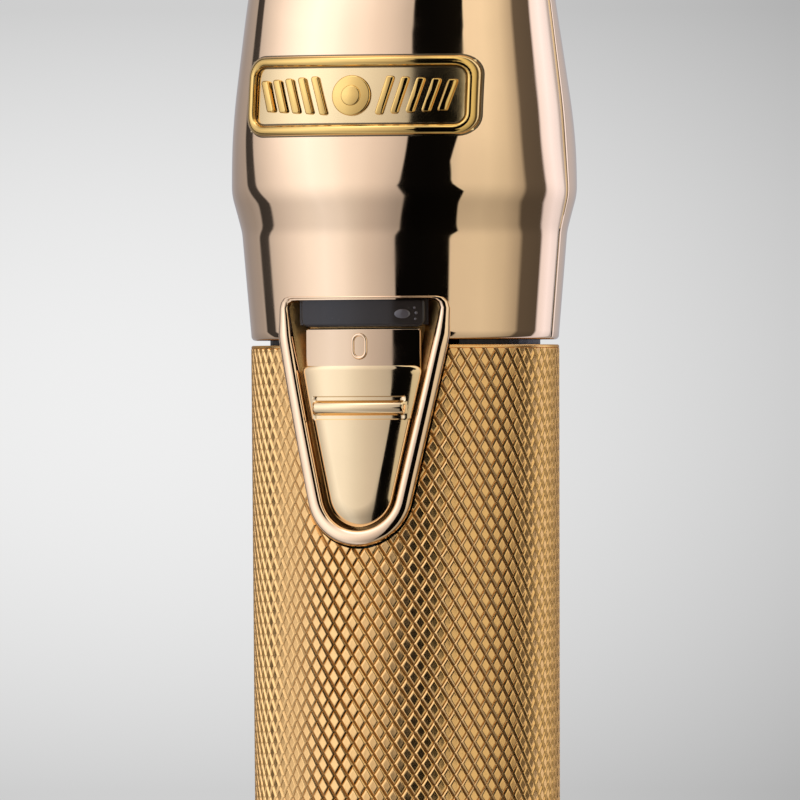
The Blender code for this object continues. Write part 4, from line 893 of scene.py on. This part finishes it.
def knurled_barrel(name):
    """The knurl as real diamonds, trimmed at both ends and round the shield, then rolled into a tube."""
    sizes = bpy.context.scene.clipper_sizes
    low, high = BARREL_LOW.z + 0.55 * MM, BARREL_HIGH.z - 0.40 * MM
    flat, faces = knurl_cells(sizes.knurl_starts, sizes.knurl_rise, sizes.knurl_depth, low, high)
    turn = math.pi * BARREL_RADIUS
    flat[:, 0] = flat[:, 0] - turn
    mesh = bpy.data.meshes.new(name)
    mesh.from_pydata([tuple(p) for p in flat], [], faces)
    bm = bmesh.new()
    bm.from_mesh(mesh)
    bmesh.ops.remove_doubles(bm, verts=bm.verts, dist=1e-7)
    for height, side in ((low, -1), (high, 1)):
        geometry = list(bm.verts) + list(bm.edges) + list(bm.faces)
        bmesh.ops.bisect_plane(
            bm, geom=geometry, dist=1e-8, plane_co=(0, height, 0), plane_no=(0, side, 0), clear_outer=True
        )
    half = shield_outline(-0.25 * MM, high + 3.0 * MM, 0.0, count=28)
    outline = [Vector((a, h, 0.0)) for a, h in both_sides(half)]
    reach = max(p.x for p in outline) + 2.0 * MM
    box = ((-reach, SHIELD_BOTTOM - 3.0 * MM), (reach, high + 1.0 * MM))
    walls = []
    for a, b in zip(outline, outline[1:] + outline[:1]):
        along = b - a
        if along.length < 1e-6:
            continue
        normal = Vector((along.y, -along.x, 0.0)).normalized()
        walls.append((a, normal))
    middle = sum(outline, Vector()) / len(outline)
    walls = [(a, n if (middle - a).dot(n) < 0 else -n) for a, n in walls]
    for a, n in walls:
        if a.y < high:
            cut_flat(bm, a, n, box)
    inside = []
    for face in bm.faces:
        centre = face.calc_center_median()
        flat_centre = Vector((centre.x, centre.y, 0.0))
        if abs(centre.x) < reach and all((flat_centre - a).dot(n) < 1e-9 for a, n in walls):
            inside.append(face)
    bmesh.ops.delete(bm, geom=inside, context="FACES")
    for vert in bm.verts:
        x, y, _z = on_barrel(vert.co.x, vert.co.y, barrel_radius(vert.co.y) - vert.co.z)
        vert.co = (x, y, vert.co.y)
    bmesh.ops.remove_doubles(bm, verts=bm.verts, dist=2e-6)
    bmesh.ops.recalc_face_normals(bm, faces=bm.faces)
    edges = [e for e in bm.edges if e.is_boundary]
    made = bmesh.ops.extrude_edge_only(bm, edges=edges)["geom"]
    for vert in (g for g in made if isinstance(g, bmesh.types.BMVert)):
        flat_radius = math.hypot(vert.co.x, vert.co.y)
        shrink = (BARREL_RADIUS - 1.15 * MM) / flat_radius
        vert.co.x *= shrink
        vert.co.y *= shrink
    bmesh.ops.recalc_face_normals(bm, faces=bm.faces)
    return finished(name, bm, mesh, "barrel_plating", 22.0)


def barrel_sleeve(name, low, high):
    """A plain turned band of the barrel with rolled edges."""
    inner = BARREL_RADIUS - 1.6 * MM
    roll = 0.12 * MM
    outer_low, outer_high = barrel_radius(low) - 0.02 * MM, barrel_radius(high) - 0.02 * MM
    profile = [(inner, low), (outer_low - roll, low), (outer_low, low + roll), (outer_high, high - roll)]
    profile += [(outer_high - roll, high), (inner, high)]
    return turned(name, profile, "barrel_plating", 200)


def end_cap(name):
    """The polished cap with a rolled foot, screw holes and the charging port's hole."""
    low, high = CAP_LOW.z, RIM - (BARREL_HIGH.z - BARREL_LOW.z) - 1.0 * MM
    outer = CAP_HIGH.x
    port = 4.5 * MM
    spigot, bore = BARREL_RADIUS - 1.9 * MM, BARREL_RADIUS - 4.5 * MM
    corners = [(port, low, 0.0), (outer, low, 2.6 * MM), (outer, high, 0.6 * MM), (spigot, high, 0.0)]
    profile = [tuple(p) for p in rounded(corners, closed=False, steps=14)]
    floor = low + 4.5 * MM
    profile += [(spigot, high + 1.2 * MM), (bore, high + 1.2 * MM)]
    profile += [(BARREL_RADIUS - 4.5 * MM, floor), (port, floor)]
    cap = turned(name, profile, "shell_plating", 192)
    for node in ("cap_screw_front", "cap_screw_rear"):
        a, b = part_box(node)
        centre = ((a.x + b.x) / 2, (a.y + b.y) / 2)
        sink = 2.2 * MM + low
        steps = [(0.0, low - MM), (2.75 * MM, low - MM), (2.6 * MM, low + 0.15 * MM), (2.6 * MM, sink)]
        steps += [(1.3 * MM, sink), (1.3 * MM, floor + MM), (0.0, floor + MM)]
        carve(cap, turned("cap_drill", steps, None, 40, centre))
    return cap


# ---------------------------------------------------------------- switch

def button_surface(along, height):
    """Radius of the button's face at a place on it: pillowed band, rolled bar, tapering keel."""
    edge = button_half(height)
    face = BARREL_RADIUS + 0.5 * MM
    drop = BUTTON_HIGH.z - height
    lean = max(0.0, abs(along) - edge + 3.0 * MM) / (3.0 * MM)
    radius = face - 0.5 * MM * lean**2
    if drop < 3.55 * MM:
        radius -= 0.10 * MM * max(0.0, 1 - drop / (0.5 * MM)) ** 2
    elif drop < 6.25 * MM:
        bar = 1 - ((drop - 4.9 * MM) / (0.78 * MM)) ** 2
        ridge = BARREL_RADIUS + 0.05 * MM + 0.75 * MM * max(0.0, bar) ** 0.5
        fade = min(1.0, max(0.0, (5.7 * MM - abs(along)) / (0.5 * MM)))
        fade = fade * fade * (3 - 2 * fade)
        radius += (ridge - radius) * fade
    else:
        centre = SHIELD_BOTTOM + SHIELD_END
        inside = (edge - abs(along)) * math.cos(SHIELD_ANGLE)
        if centre - height > abs(along) * math.tan(SHIELD_ANGLE):
            inside = SHIELD_END - SHIELD_BORDER - 0.4 * MM - math.hypot(along, centre - height)
        slope = min(1.0, max(0.0, 1 - inside / (2.2 * MM)))
        radius = face - 0.68 * MM * slope**1.8
    rim = max(0.0, 1 - (edge - abs(along)) / (0.22 * MM))
    return radius - 0.14 * MM * min(1.0, rim) ** 2


def button_half(height):
    """Half width of the button at this height."""
    end = SHIELD_END - SHIELD_BORDER - BUTTON_GAP
    if height >= SHIELD_CENTRE - end * math.sin(SHIELD_ANGLE):
        half = shield_reach(end, height)
    else:
        half = math.sqrt(max(0.0, end**2 - (SHIELD_CENTRE - height) ** 2))
    corner = 1.0 * MM
    back = corner - (BUTTON_HIGH.z - height)
    if back > 0:
        half -= corner - math.sqrt(max(0.0, corner**2 - back**2))
    return half


def slide_button(name):
    """The slide button: its moulded face, and a back that follows it."""
    low, high = SHIELD_BOTTOM + SHIELD_BORDER + 0.42 * MM, BUTTON_HIGH.z - 1e-5
    even = np.linspace(0, 1, 150)
    heights = low + (high - low) * even
    ends = np.array([0.02, 0.06, 0.12, 0.2, 0.32, 0.5]) * MM
    heights = np.unique(np.r_[heights, low + ends, high - ends])
    shares = np.sin(np.linspace(-math.pi / 2, math.pi / 2, 81))
    front, back = [], []
    for h in heights:
        half = button_half(float(h))
        faces = [button_surface(s * half, float(h)) for s in shares]
        front.append([on_barrel(s * half, float(h), r) for s, r in zip(shares, faces)])
        backs = [min(BARREL_RADIUS - 0.35 * MM, r - 0.3 * MM) for r in faces]
        back.append([on_barrel(s * half, float(h), r) for s, r in zip(shares, backs)])
    grid = [f + b[::-1] for f, b in zip(front, back)]
    return skin(name, grid, "trim_plating", caps=True, sharp=28.0)


def switch_pad(name):
    """The pad that carries the off mark, with rolled upper corners."""
    low, high = BUTTON_LOW.z + 6.0 * MM, LENS_LOW.z - 0.15 * MM
    layers = []
    for inset, sink in ((0.0, 0.9), (0.0, 0.2), (0.06, 0.06), (0.2, 0.0)):
        half, top = PAD_HALF_WIDTH - inset * MM, high - inset * MM
        corners = [(half, low, 0.0), (half, top, 0.35 * MM), (-half, top, 0.35 * MM), (-half, low, 0.0)]
        layers.append((rounded(corners, steps=5), PAD_FACE - sink * MM))
    edge = barrel_rim(name + "_edge", layers, 240, "pad_plating_painted_shade")
    heights = np.linspace(low, high - 0.2 * MM, 20)
    face = barrel_sheet(name, heights, lambda z: PAD_HALF_WIDTH - 0.2 * MM, PAD_FACE, 81, "pad_plating_painted_shade")
    return [edge, face]


def recess_floor(name):
    """The floor of the recess behind the button, as wide as the middle of the border."""
    outline = shield_outline(SHIELD_BORDER / 2, SHIELD_TOP, 1.0 * MM, count=80)
    heights, reach = zip(*sorted((h, a) for a, h in outline))
    rows = np.linspace(SHIELD_BOTTOM + 1.0 * MM, SHIELD_TOP - SHIELD_LIP / 2, 40)

    def half(z):
        return min(float(np.interp(z, heights, reach)), 11.0 * MM)

    # Its finish darkens it with painted shade of the recess.
    return barrel_sheet(name, rows, half, RECESS_BED, 41, "recess_plating_painted_shade")


def off_mark(name):
    """The raised 0 above the button."""
    tall = bpy.context.scene.clipper_sizes.mark_height
    middle = (BUTTON_HIGH.z + LENS_LOW.z) / 2
    half_width, half_height = 0.82 * MM, tall / 2 - 0.2 * MM
    corners = [(half_width, -half_height), (half_width, half_height), (-half_width, half_height)]
    corners.append((-half_width, -half_height))
    outline = rounded([(a, middle + b, 0.80 * MM) for a, b in corners], steps=8)
    path = [on_barrel(a, b, PAD_FACE - 0.01 * MM) for a, b in outline]
    return closed_bead(name, path, 0.2 * MM, "shell_plating")


def window_lens(name):
    """The smoked window with its rolled edge and rounded lower corners."""
    low, high = LENS_LOW.z, LENS_HIGH.z
    layers = []
    for inset, sink in ((0.0, 1.5), (0.0, 0.35), (0.08, 0.12), (0.22, 0.02), (0.4, 0.0)):
        half, foot, corner = LENS_HALF_WIDTH - inset * MM, low + inset * MM, (0.9 - 0.5 * inset) * MM
        corners = [(half, foot, corner), (half, high, 0.0), (-half, high, 0.0), (-half, foot, corner)]
        layers.append((rounded(corners, steps=8), LENS_FACE - sink * MM))
    edge = barrel_rim(name + "_edge", layers, 200, "smoked_window")
    heights = np.linspace(low + 0.4 * MM, high, 12)
    front = barrel_sheet(name, heights, lambda z: LENS_HALF_WIDTH - 0.4 * MM, LENS_FACE, 61, "smoked_window")
    return [edge, front]


def window_housing(name):
    """The dark surround that fills the top of the recess behind the window."""
    heights = np.linspace(LENS_LOW.z + 0.25 * MM, SHIELD_TOP - SHIELD_LIP, 9)
    return barrel_sheet(name, heights, lambda z: HOUSING_HALF_WIDTH, HOUSING_FACE, 61, "smoked_window")


def window_lamps():
    """The charge lamp's dome and three small pips beside it, moulded in the window."""
    made = []
    z = (LENS_LOW.z + LENS_HIGH.z) / 2
    face = LENS_FACE - 0.01 * MM
    pips = [(5.3, 0.0, 0.95, 0.55), (6.75, 0.7, 0.16, 0.16), (6.95, 0.1, 0.2, 0.2), (6.85, -0.6, 0.16, 0.16)]
    for k, (along, up, wide, tall) in enumerate(pips):
        grid = []
        for lean in np.radians([0.0, 15.0, 35.0, 60.0, 80.0]):
            reach, lift = math.cos(lean), 0.16 * MM * math.sin(lean)
            row = []
            for turn in np.linspace(0, 2 * math.pi, 24, endpoint=False):
                a = (along + wide * reach * math.cos(turn)) * MM
                row.append(on_barrel(a, z + (up + tall * reach * math.sin(turn)) * MM, face + lift))
            grid.append(row)
        made.append(skin(f"window_lamp_{k}", grid, "lamp_resin", caps=True))
    return made


# ---------------------------------------------------------------- operators

class PieceOperator:
    """What the operators that make pieces share."""
    bl_options = {"REGISTER", "UNDO"}

    @staticmethod
    def stand_in(obj, body, slot, *nodes):
        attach(obj, body)
        if nodes:
            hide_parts(*nodes)


class CLIPPER_OT_front_shell(PieceOperator, bpy.types.Operator):
    """Builds the front shell, with the shield's opening and its rounded border"""

    bl_idname = "clipper.front_shell"
    bl_label = "Front shell"

    def execute(self, context):
        shell = shell_half("front_shell_skin", True)
        carve(shell, shield_cutter(SHIELD_BORDER * 0.55, SHIELD_TOP - 0.45 * MM))
        self.stand_in(shell, "handle", "rose_gold", "front_shell")
        self.stand_in(border_bead("shield_border"), "handle", "rose_gold")
        return {"FINISHED"}


class CLIPPER_OT_rear_shell(PieceOperator, bpy.types.Operator):
    """Builds the rear shell, open where the blade mount sits"""

    bl_idname = "clipper.rear_shell"
    bl_label = "Rear shell"

    def execute(self, context):
        shell = shell_half("rear_shell_skin", False)
        carve(shell, mount_cutter())
        self.stand_in(shell, "handle", "rose_gold", "rear_shell")
        return {"FINISHED"}


def mount_cutter():
    """A slanted block round the blade mount, as wide as the mount with its clearance."""
    low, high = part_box("blade_mount")
    half = high.x + 0.3 * MM
    foot = Vector((0.0, RIM_RADIUS - 7.73 * MM, HEAD_TOP - 4.5 * MM))
    along = Vector((0.0, -math.sin(BLADE_TILT), math.cos(BLADE_TILT)))
    out = Vector((0.0, math.cos(BLADE_TILT), math.sin(BLADE_TILT)))
    grid = []
    for v in (-4.3 * MM, 12.0 * MM):
        ring = [(-half, -4.3 * MM), (half, -4.3 * MM), (half, 10.0 * MM), (-half, 10.0 * MM)]
        grid.append([tuple(foot + Vector((u, 0, 0)) + along * v + out * n) for u, n in ring])
    return skin("mount_cutter", grid, None, caps=True)


class CLIPPER_OT_badge(PieceOperator, bpy.types.Operator):
    """Builds the badge: rolled border, field, a plain relief and rings of painted shade round the border"""

    bl_idname = "clipper.badge"
    bl_label = "Badge"

    def execute(self, context):
        self.stand_in(badge_border("badge_rolled_border"), "handle", "pale_gold", "badge")
        self.stand_in(badge_field("badge_field"), "handle", "pale_gold")
        inset = context.scene.clipper_sizes.badge_border
        # A ring of painted shade inside the rolled border, and a ring of painted shadow round the badge's
        # outer edge.
        groove = badge_shade_ring("badge_shade_ring", inset, ((-0.1, 0.45), (-0.02, 0.5), (0.14, 0.5), (0.2, 0.45)))
        self.stand_in(groove, "handle", "pale_gold")
        edge_shadow = badge_shade_ring("badge_edge_shadow", 0.0, ((-0.2, -0.1), (-0.16, 0.06), (-0.04, 0.1), (0.1, 0.1)))
        self.stand_in(edge_shadow, "handle", "pale_gold")
        for piece in badge_relief():
            self.stand_in(piece, "handle", "pale_gold")
        return {"FINISHED"}


class CLIPPER_OT_barrel(PieceOperator, bpy.types.Operator):
    """Builds the diamond-knurled barrel with its plain ends"""

    bl_idname = "clipper.barrel"
    bl_label = "Knurled barrel"

    def execute(self, context):
        self.stand_in(knurled_barrel("knurled_barrel"), "handle", "barrel_gold", "barrel")
        foot = barrel_sleeve("barrel_foot_band", BARREL_LOW.z, BARREL_LOW.z + 0.6 * MM)
        self.stand_in(foot, "handle", "barrel_gold")
        rim = barrel_sleeve("barrel_rim_band", BARREL_HIGH.z - 0.45 * MM, BARREL_HIGH.z)
        carve(rim, shield_cutter(-0.25 * MM, SHIELD_TOP))
        self.stand_in(rim, "handle", "barrel_gold")
        return {"FINISHED"}


class CLIPPER_OT_switch(PieceOperator, bpy.types.Operator):
    """Builds the slide button, the pad with its off mark, the recess floor and the smoked window"""

    bl_idname = "clipper.switch"
    bl_label = "Switch"

    def execute(self, context):
        self.stand_in(slide_button("slide_button"), "switch", "pale_gold", "switch_button")
        self.stand_in(recess_floor("recess_floor"), "handle", "rose_gold", "switch_plate")
        self.stand_in(recess_wall("recess_wall"), "handle", "rose_gold")
        for piece in switch_pad("switch_pad"):
            self.stand_in(piece, "handle", "rose_gold")
        self.stand_in(off_mark("off_mark"), "handle", "rose_gold")
        lens = window_lens("smoked_window")
        self.stand_in(lens[1], "handle", "smoked_lens", "window_lens")
        self.stand_in(lens[0], "handle", "smoked_lens")
        self.stand_in(window_housing("window_housing"), "handle", "smoked_lens")
        for piece in window_lamps():
            self.stand_in(piece, "handle", "smoked_lens")
        return {"FINISHED"}


class CLIPPER_OT_end_cap(PieceOperator, bpy.types.Operator):
    """Builds the polished end cap"""

    bl_idname = "clipper.end_cap"
    bl_label = "End cap"

    def execute(self, context):
        self.stand_in(end_cap("polished_end_cap"), "handle", "rose_gold", "end_cap")
        return {"FINISHED"}


class CLIPPER_OT_works(PieceOperator, bpy.types.Operator):
    """Gives every carried-over piece its finish, and eases the edges of the blades and their mount"""

    bl_idname = "clipper.works"
    bl_label = "Blades and inner works"

    finishes = {
        "rose_gold": "shell_plating",
        "barrel_gold": "barrel_plating",
        "pale_gold": "trim_plating",
        "steel": "shaft_steel",
        "dark_steel": "blackened_steel",
        "black_plastic": "matt_plastic",
        "smoked_lens": "smoked_window",
        "rubber": "seal_rubber",
        "board_green": "board_mask",
        "battery_sleeve": "cell_sleeve",
        "nickel": "nickel_plate",
        "copper": "copper_wire",
        "red_wire": "red_insulation",
        "led_clear": "led_resin",
    }
    own = {"fixed_blade": "blade_steel", "cutter_blade": "cutter_steel", "tension_spring": "nickel_plate"}
    eased = {
        "fixed_blade": 0.12,
        "cutter_blade": 0.10,
        "blade_mount": 0.3,
        "drive_arm": 0.25,
        "mouth_plate": 0.15,
        "blade_screw_left": 0.12,
        "blade_screw_right": 0.12,
        "motor_mount": 0.2,
    }

    def execute(self, context):
        slots = {p["node"]: p["material_slot"] for p in frame["record"]["subparts"]}
        for node, obj in frame["nodes"].items():
            name = self.own.get(node) or self.finishes[slots[node]]
            obj.data.materials.clear()
            obj.data.materials.append(material(name))
            if node in self.eased:
                bevel = obj.modifiers.new("eased edges", "BEVEL")
                bevel.width = self.eased[node] * MM
                bevel.segments = 2
                bevel.limit_method = "ANGLE"
                bevel.angle_limit = math.radians(40)
                bevel.use_clamp_overlap = True
        return {"FINISHED"}


class CLIPPER_OT_stage(PieceOperator, bpy.types.Operator):
    """Sets the floor, the soft studio light and the camera"""

    bl_idname = "clipper.stage"
    bl_label = "Stage"

    def execute(self, context):
        floor = turned("floor", [(0.0, 0.0), (1.5, 0.0), (1.5, -0.01), (0.0, -0.01)], "studio_floor", 96)
        floor.visible_glossy = False
        studio_light()
        studio_camera()
        context.scene.view_settings.view_transform = "Standard"
        return {"FINISHED"}


CAMERA_TURN = math.radians(18.0)
CAMERA_DISTANCE = 2.0
FRAME_HEIGHT = 93.5 * MM
FRAME_MIDDLE = 90.6 * MM


def studio_camera():
    """The camera of the studio view."""
    data = bpy.data.cameras.new("studio_camera")
    data.sensor_width = 36.0
    data.lens = 36.0 * CAMERA_DISTANCE / FRAME_HEIGHT
    data.clip_start, data.clip_end = 0.1, 10.0
    camera = bpy.data.objects.new("studio_camera", data)
    back = Vector((math.sin(CAMERA_TURN), -math.cos(CAMERA_TURN), 0.0))
    right = Vector((math.cos(CAMERA_TURN), math.sin(CAMERA_TURN), 0.0))
    camera.location = back * CAMERA_DISTANCE - right * 0.65 * MM + Vector((0.0, 0.0, FRAME_MIDDLE))
    camera.rotation_euler = (-back).to_track_quat("-Z", "Y").to_euler()
    camera.rotation_euler.rotate_axis("Z", math.radians(-0.28))
    bpy.context.scene.collection.objects.link(camera)
    bpy.context.scene.camera = camera


SOFTBOXES = [
    # angle from the front of the studio in degrees, brightness, colour
    (-180, 0.42, (1.0, 1.0, 1.1)),
    (-150, 0.34, (1.0, 1.0, 1.1)),
    (-132, 0.40, (1.0, 1.0, 1.1)),
    (-115, 0.60, (1.0, 1.02, 1.15)),
    (-100, 0.80, (1.0, 1.02, 1.15)),
    (-88, 0.98, (1.0, 1.03, 1.18)),
    (-75, 1.15, (1.0, 1.05, 1.2)),
    (-60, 1.26, (1.0, 1.07, 1.25)),
    (-46, 1.15, (1.0, 1.05, 1.2)),
    (-37, 0.95, (1.0, 1.03, 1.15)),
    (-28, 0.80, (1.0, 1.0, 1.1)),
    (-20, 0.70, (1.0, 1.0, 1.1)),
    (-8, 0.52, (1.0, 1.0, 1.1)),
    (10, 0.48, (1.0, 1.0, 1.0)),
    (34, 0.82, (1.0, 0.96, 0.86)),
    (58, 0.84, (1.0, 0.97, 0.86)),
    (76, 0.70, (1.0, 0.96, 0.84)),
    (90, 0.45, (1.0, 0.94, 0.82)),
    (94, 0.12, (1.0, 0.9, 0.8)),
    (114, 0.10, (1.0, 0.9, 0.8)),
    (117, 0.97, (1.0, 1.03, 1.3)),
    (128, 1.12, (1.0, 1.05, 1.35)),
    (139, 0.92, (1.0, 1.05, 1.3)),
    (143, 0.34, (1.0, 1.0, 1.1)),
    (148, 0.55, (1.0, 1.0, 1.15)),
    (165, 0.45, (1.0, 1.0, 1.1)),
    (180, 0.42, (1.0, 1.0, 1.1)),
]
BRIGHTEST = 1.7


def studio_light():
    """A studio all round the clipper: softboxes left and right, a black flag beside the front, and a backdrop
    for the camera with a painted pool of light.
    """
    world = bpy.data.worlds.new("studio")
    bpy.context.scene.world = world
    world.use_nodes = True
    world.node_tree.nodes.clear()
    tree = Tree(world.node_tree)
    x, y, z = tree.axes(tree.node("ShaderNodeTexCoord", out="Generated"))
    sine, cosine = math.sin(CAMERA_TURN), math.cos(CAMERA_TURN)
    right = x * cosine + y * sine
    front = x * sine - y * cosine
    angle = tree.node("ShaderNodeMath", {"operation": "ARCTAN2"}, [right, front]) * math.degrees(1)
    height = tree.node("ShaderNodeMath", {"operation": "ARCSINE"}, [z.clamp(-1.0, 1.0)]) * math.degrees(1)

    stops = []
    for degrees, brightness, colour in SOFTBOXES:
        share = brightness / BRIGHTEST
        stops.append(((degrees + 180) / 360, tuple(min(1.0, share * c) for c in colour)))
    around = tree.node("ShaderNodeValToRGB", {"stops": stops}, [angle / 360 + 0.5])
    rise = (height * 0.012 + 1.0).clamp(0.6, 1.2) + height.step(45.0, 70.0) * 0.5
    tilt = tree.node("ShaderNodeMath", {"operation": "ABSOLUTE"}, [height])
    flag_left = (tilt * 0.3).clamp(0.0, 6.0) - 10.0
    flag_right = (tilt * 0.8).clamp(0.0, 14.0) + 25.0
    flag = (angle - flag_left).step(-0.8, 0.8) * (flag_right - angle).step(-0.8, 0.8)
    flag = flag * (1.0 - height.step(50.0, 60.0)) * (height + 60.0).step(0.0, 8.0)
    seam = angle + height * 0.4 + 122.0
    thin = 1.0 - tree.node("ShaderNodeMath", {"operation": "ABSOLUTE"}, [seam]).step(5.0, 8.0)
    shade = (1.0 - flag * 0.995) * (1.0 - thin * 0.9)
    studio = tree.node("ShaderNodeBackground", {}, {"Color": around, "Strength": rise * shade * BRIGHTEST})

    # The backdrop that the camera sees is painted light: a pool of light, brightest near the middle and
    # falling off towards the edges. Reflections and lighting use the studio above.
    tangent = FRAME_HEIGHT / 2 / CAMERA_DISTANCE
    across = right * (400 / tangent) + 400
    down = 400 - z * (400 / tangent)
    fall = (down - 400) / 390
    drift = (across - 120) / 675
    fade = (1.0 - (fall * fall).clamp() * 0.275) * (1.0 - (drift * drift).clamp() * 0.28)
    backdrop_light_pool = fade * 0.86
    backdrop = tree.node("ShaderNodeBackground", {}, {"Color": (1.0, 1.0, 1.0, 1.0), "Strength": backdrop_light_pool})
    seen = tree.node("ShaderNodeLightPath", out="Is Camera Ray")
    mixed = tree.node("ShaderNodeMixShader", {}, [seen, studio, backdrop])
    output = tree.nodes.new("ShaderNodeOutputWorld")
    tree.links.new(mixed.socket, output.inputs["Surface"])


class CLIPPER_PT_panel(bpy.types.Panel):
    """Lists the clipper's pieces, sizes and colours"""

    bl_label = "Hair clipper"
    bl_idname = "CLIPPER_PT_panel"
    bl_space_type = "VIEW_3D"
    bl_region_type = "UI"
    bl_category = "Clipper"

    def draw(self, context):
        for operator in OPERATORS:
            self.layout.operator(operator.bl_idname)
        for group in (context.scene.clipper_sizes, context.scene.clipper_colours):
            box = self.layout.box()
            for name in group.bl_rna.properties.keys():
                if name not in ("rna_type", "name"):
                    box.prop(group, name)


OPERATORS = (
    CLIPPER_OT_works,
    CLIPPER_OT_front_shell,
    CLIPPER_OT_rear_shell,
    CLIPPER_OT_badge,
    CLIPPER_OT_barrel,
    CLIPPER_OT_switch,
    CLIPPER_OT_end_cap,
    CLIPPER_OT_stage,
)
CLASSES = (ClipperSizes, ClipperColours, *OPERATORS, CLIPPER_PT_panel)


def register():
    """Adds the settings, the operators and the panel."""
    for cls in CLASSES:
        bpy.utils.register_class(cls)
    bpy.types.Scene.clipper_sizes = PointerProperty(type=ClipperSizes)
    bpy.types.Scene.clipper_colours = PointerProperty(type=ClipperColours)


def unregister():
    """Takes them away again."""
    del bpy.types.Scene.clipper_colours
    del bpy.types.Scene.clipper_sizes
    for cls in reversed(CLASSES):
        bpy.utils.unregister_class(cls)


def main():
    """Builds every piece and the studio."""
    register()
    for operator in OPERATORS:
        group, name = operator.bl_idname.split(".")
        getattr(getattr(bpy.ops, group), name)()
    bpy.context.view_layer.update()


if __name__ == "__main__":
    main()
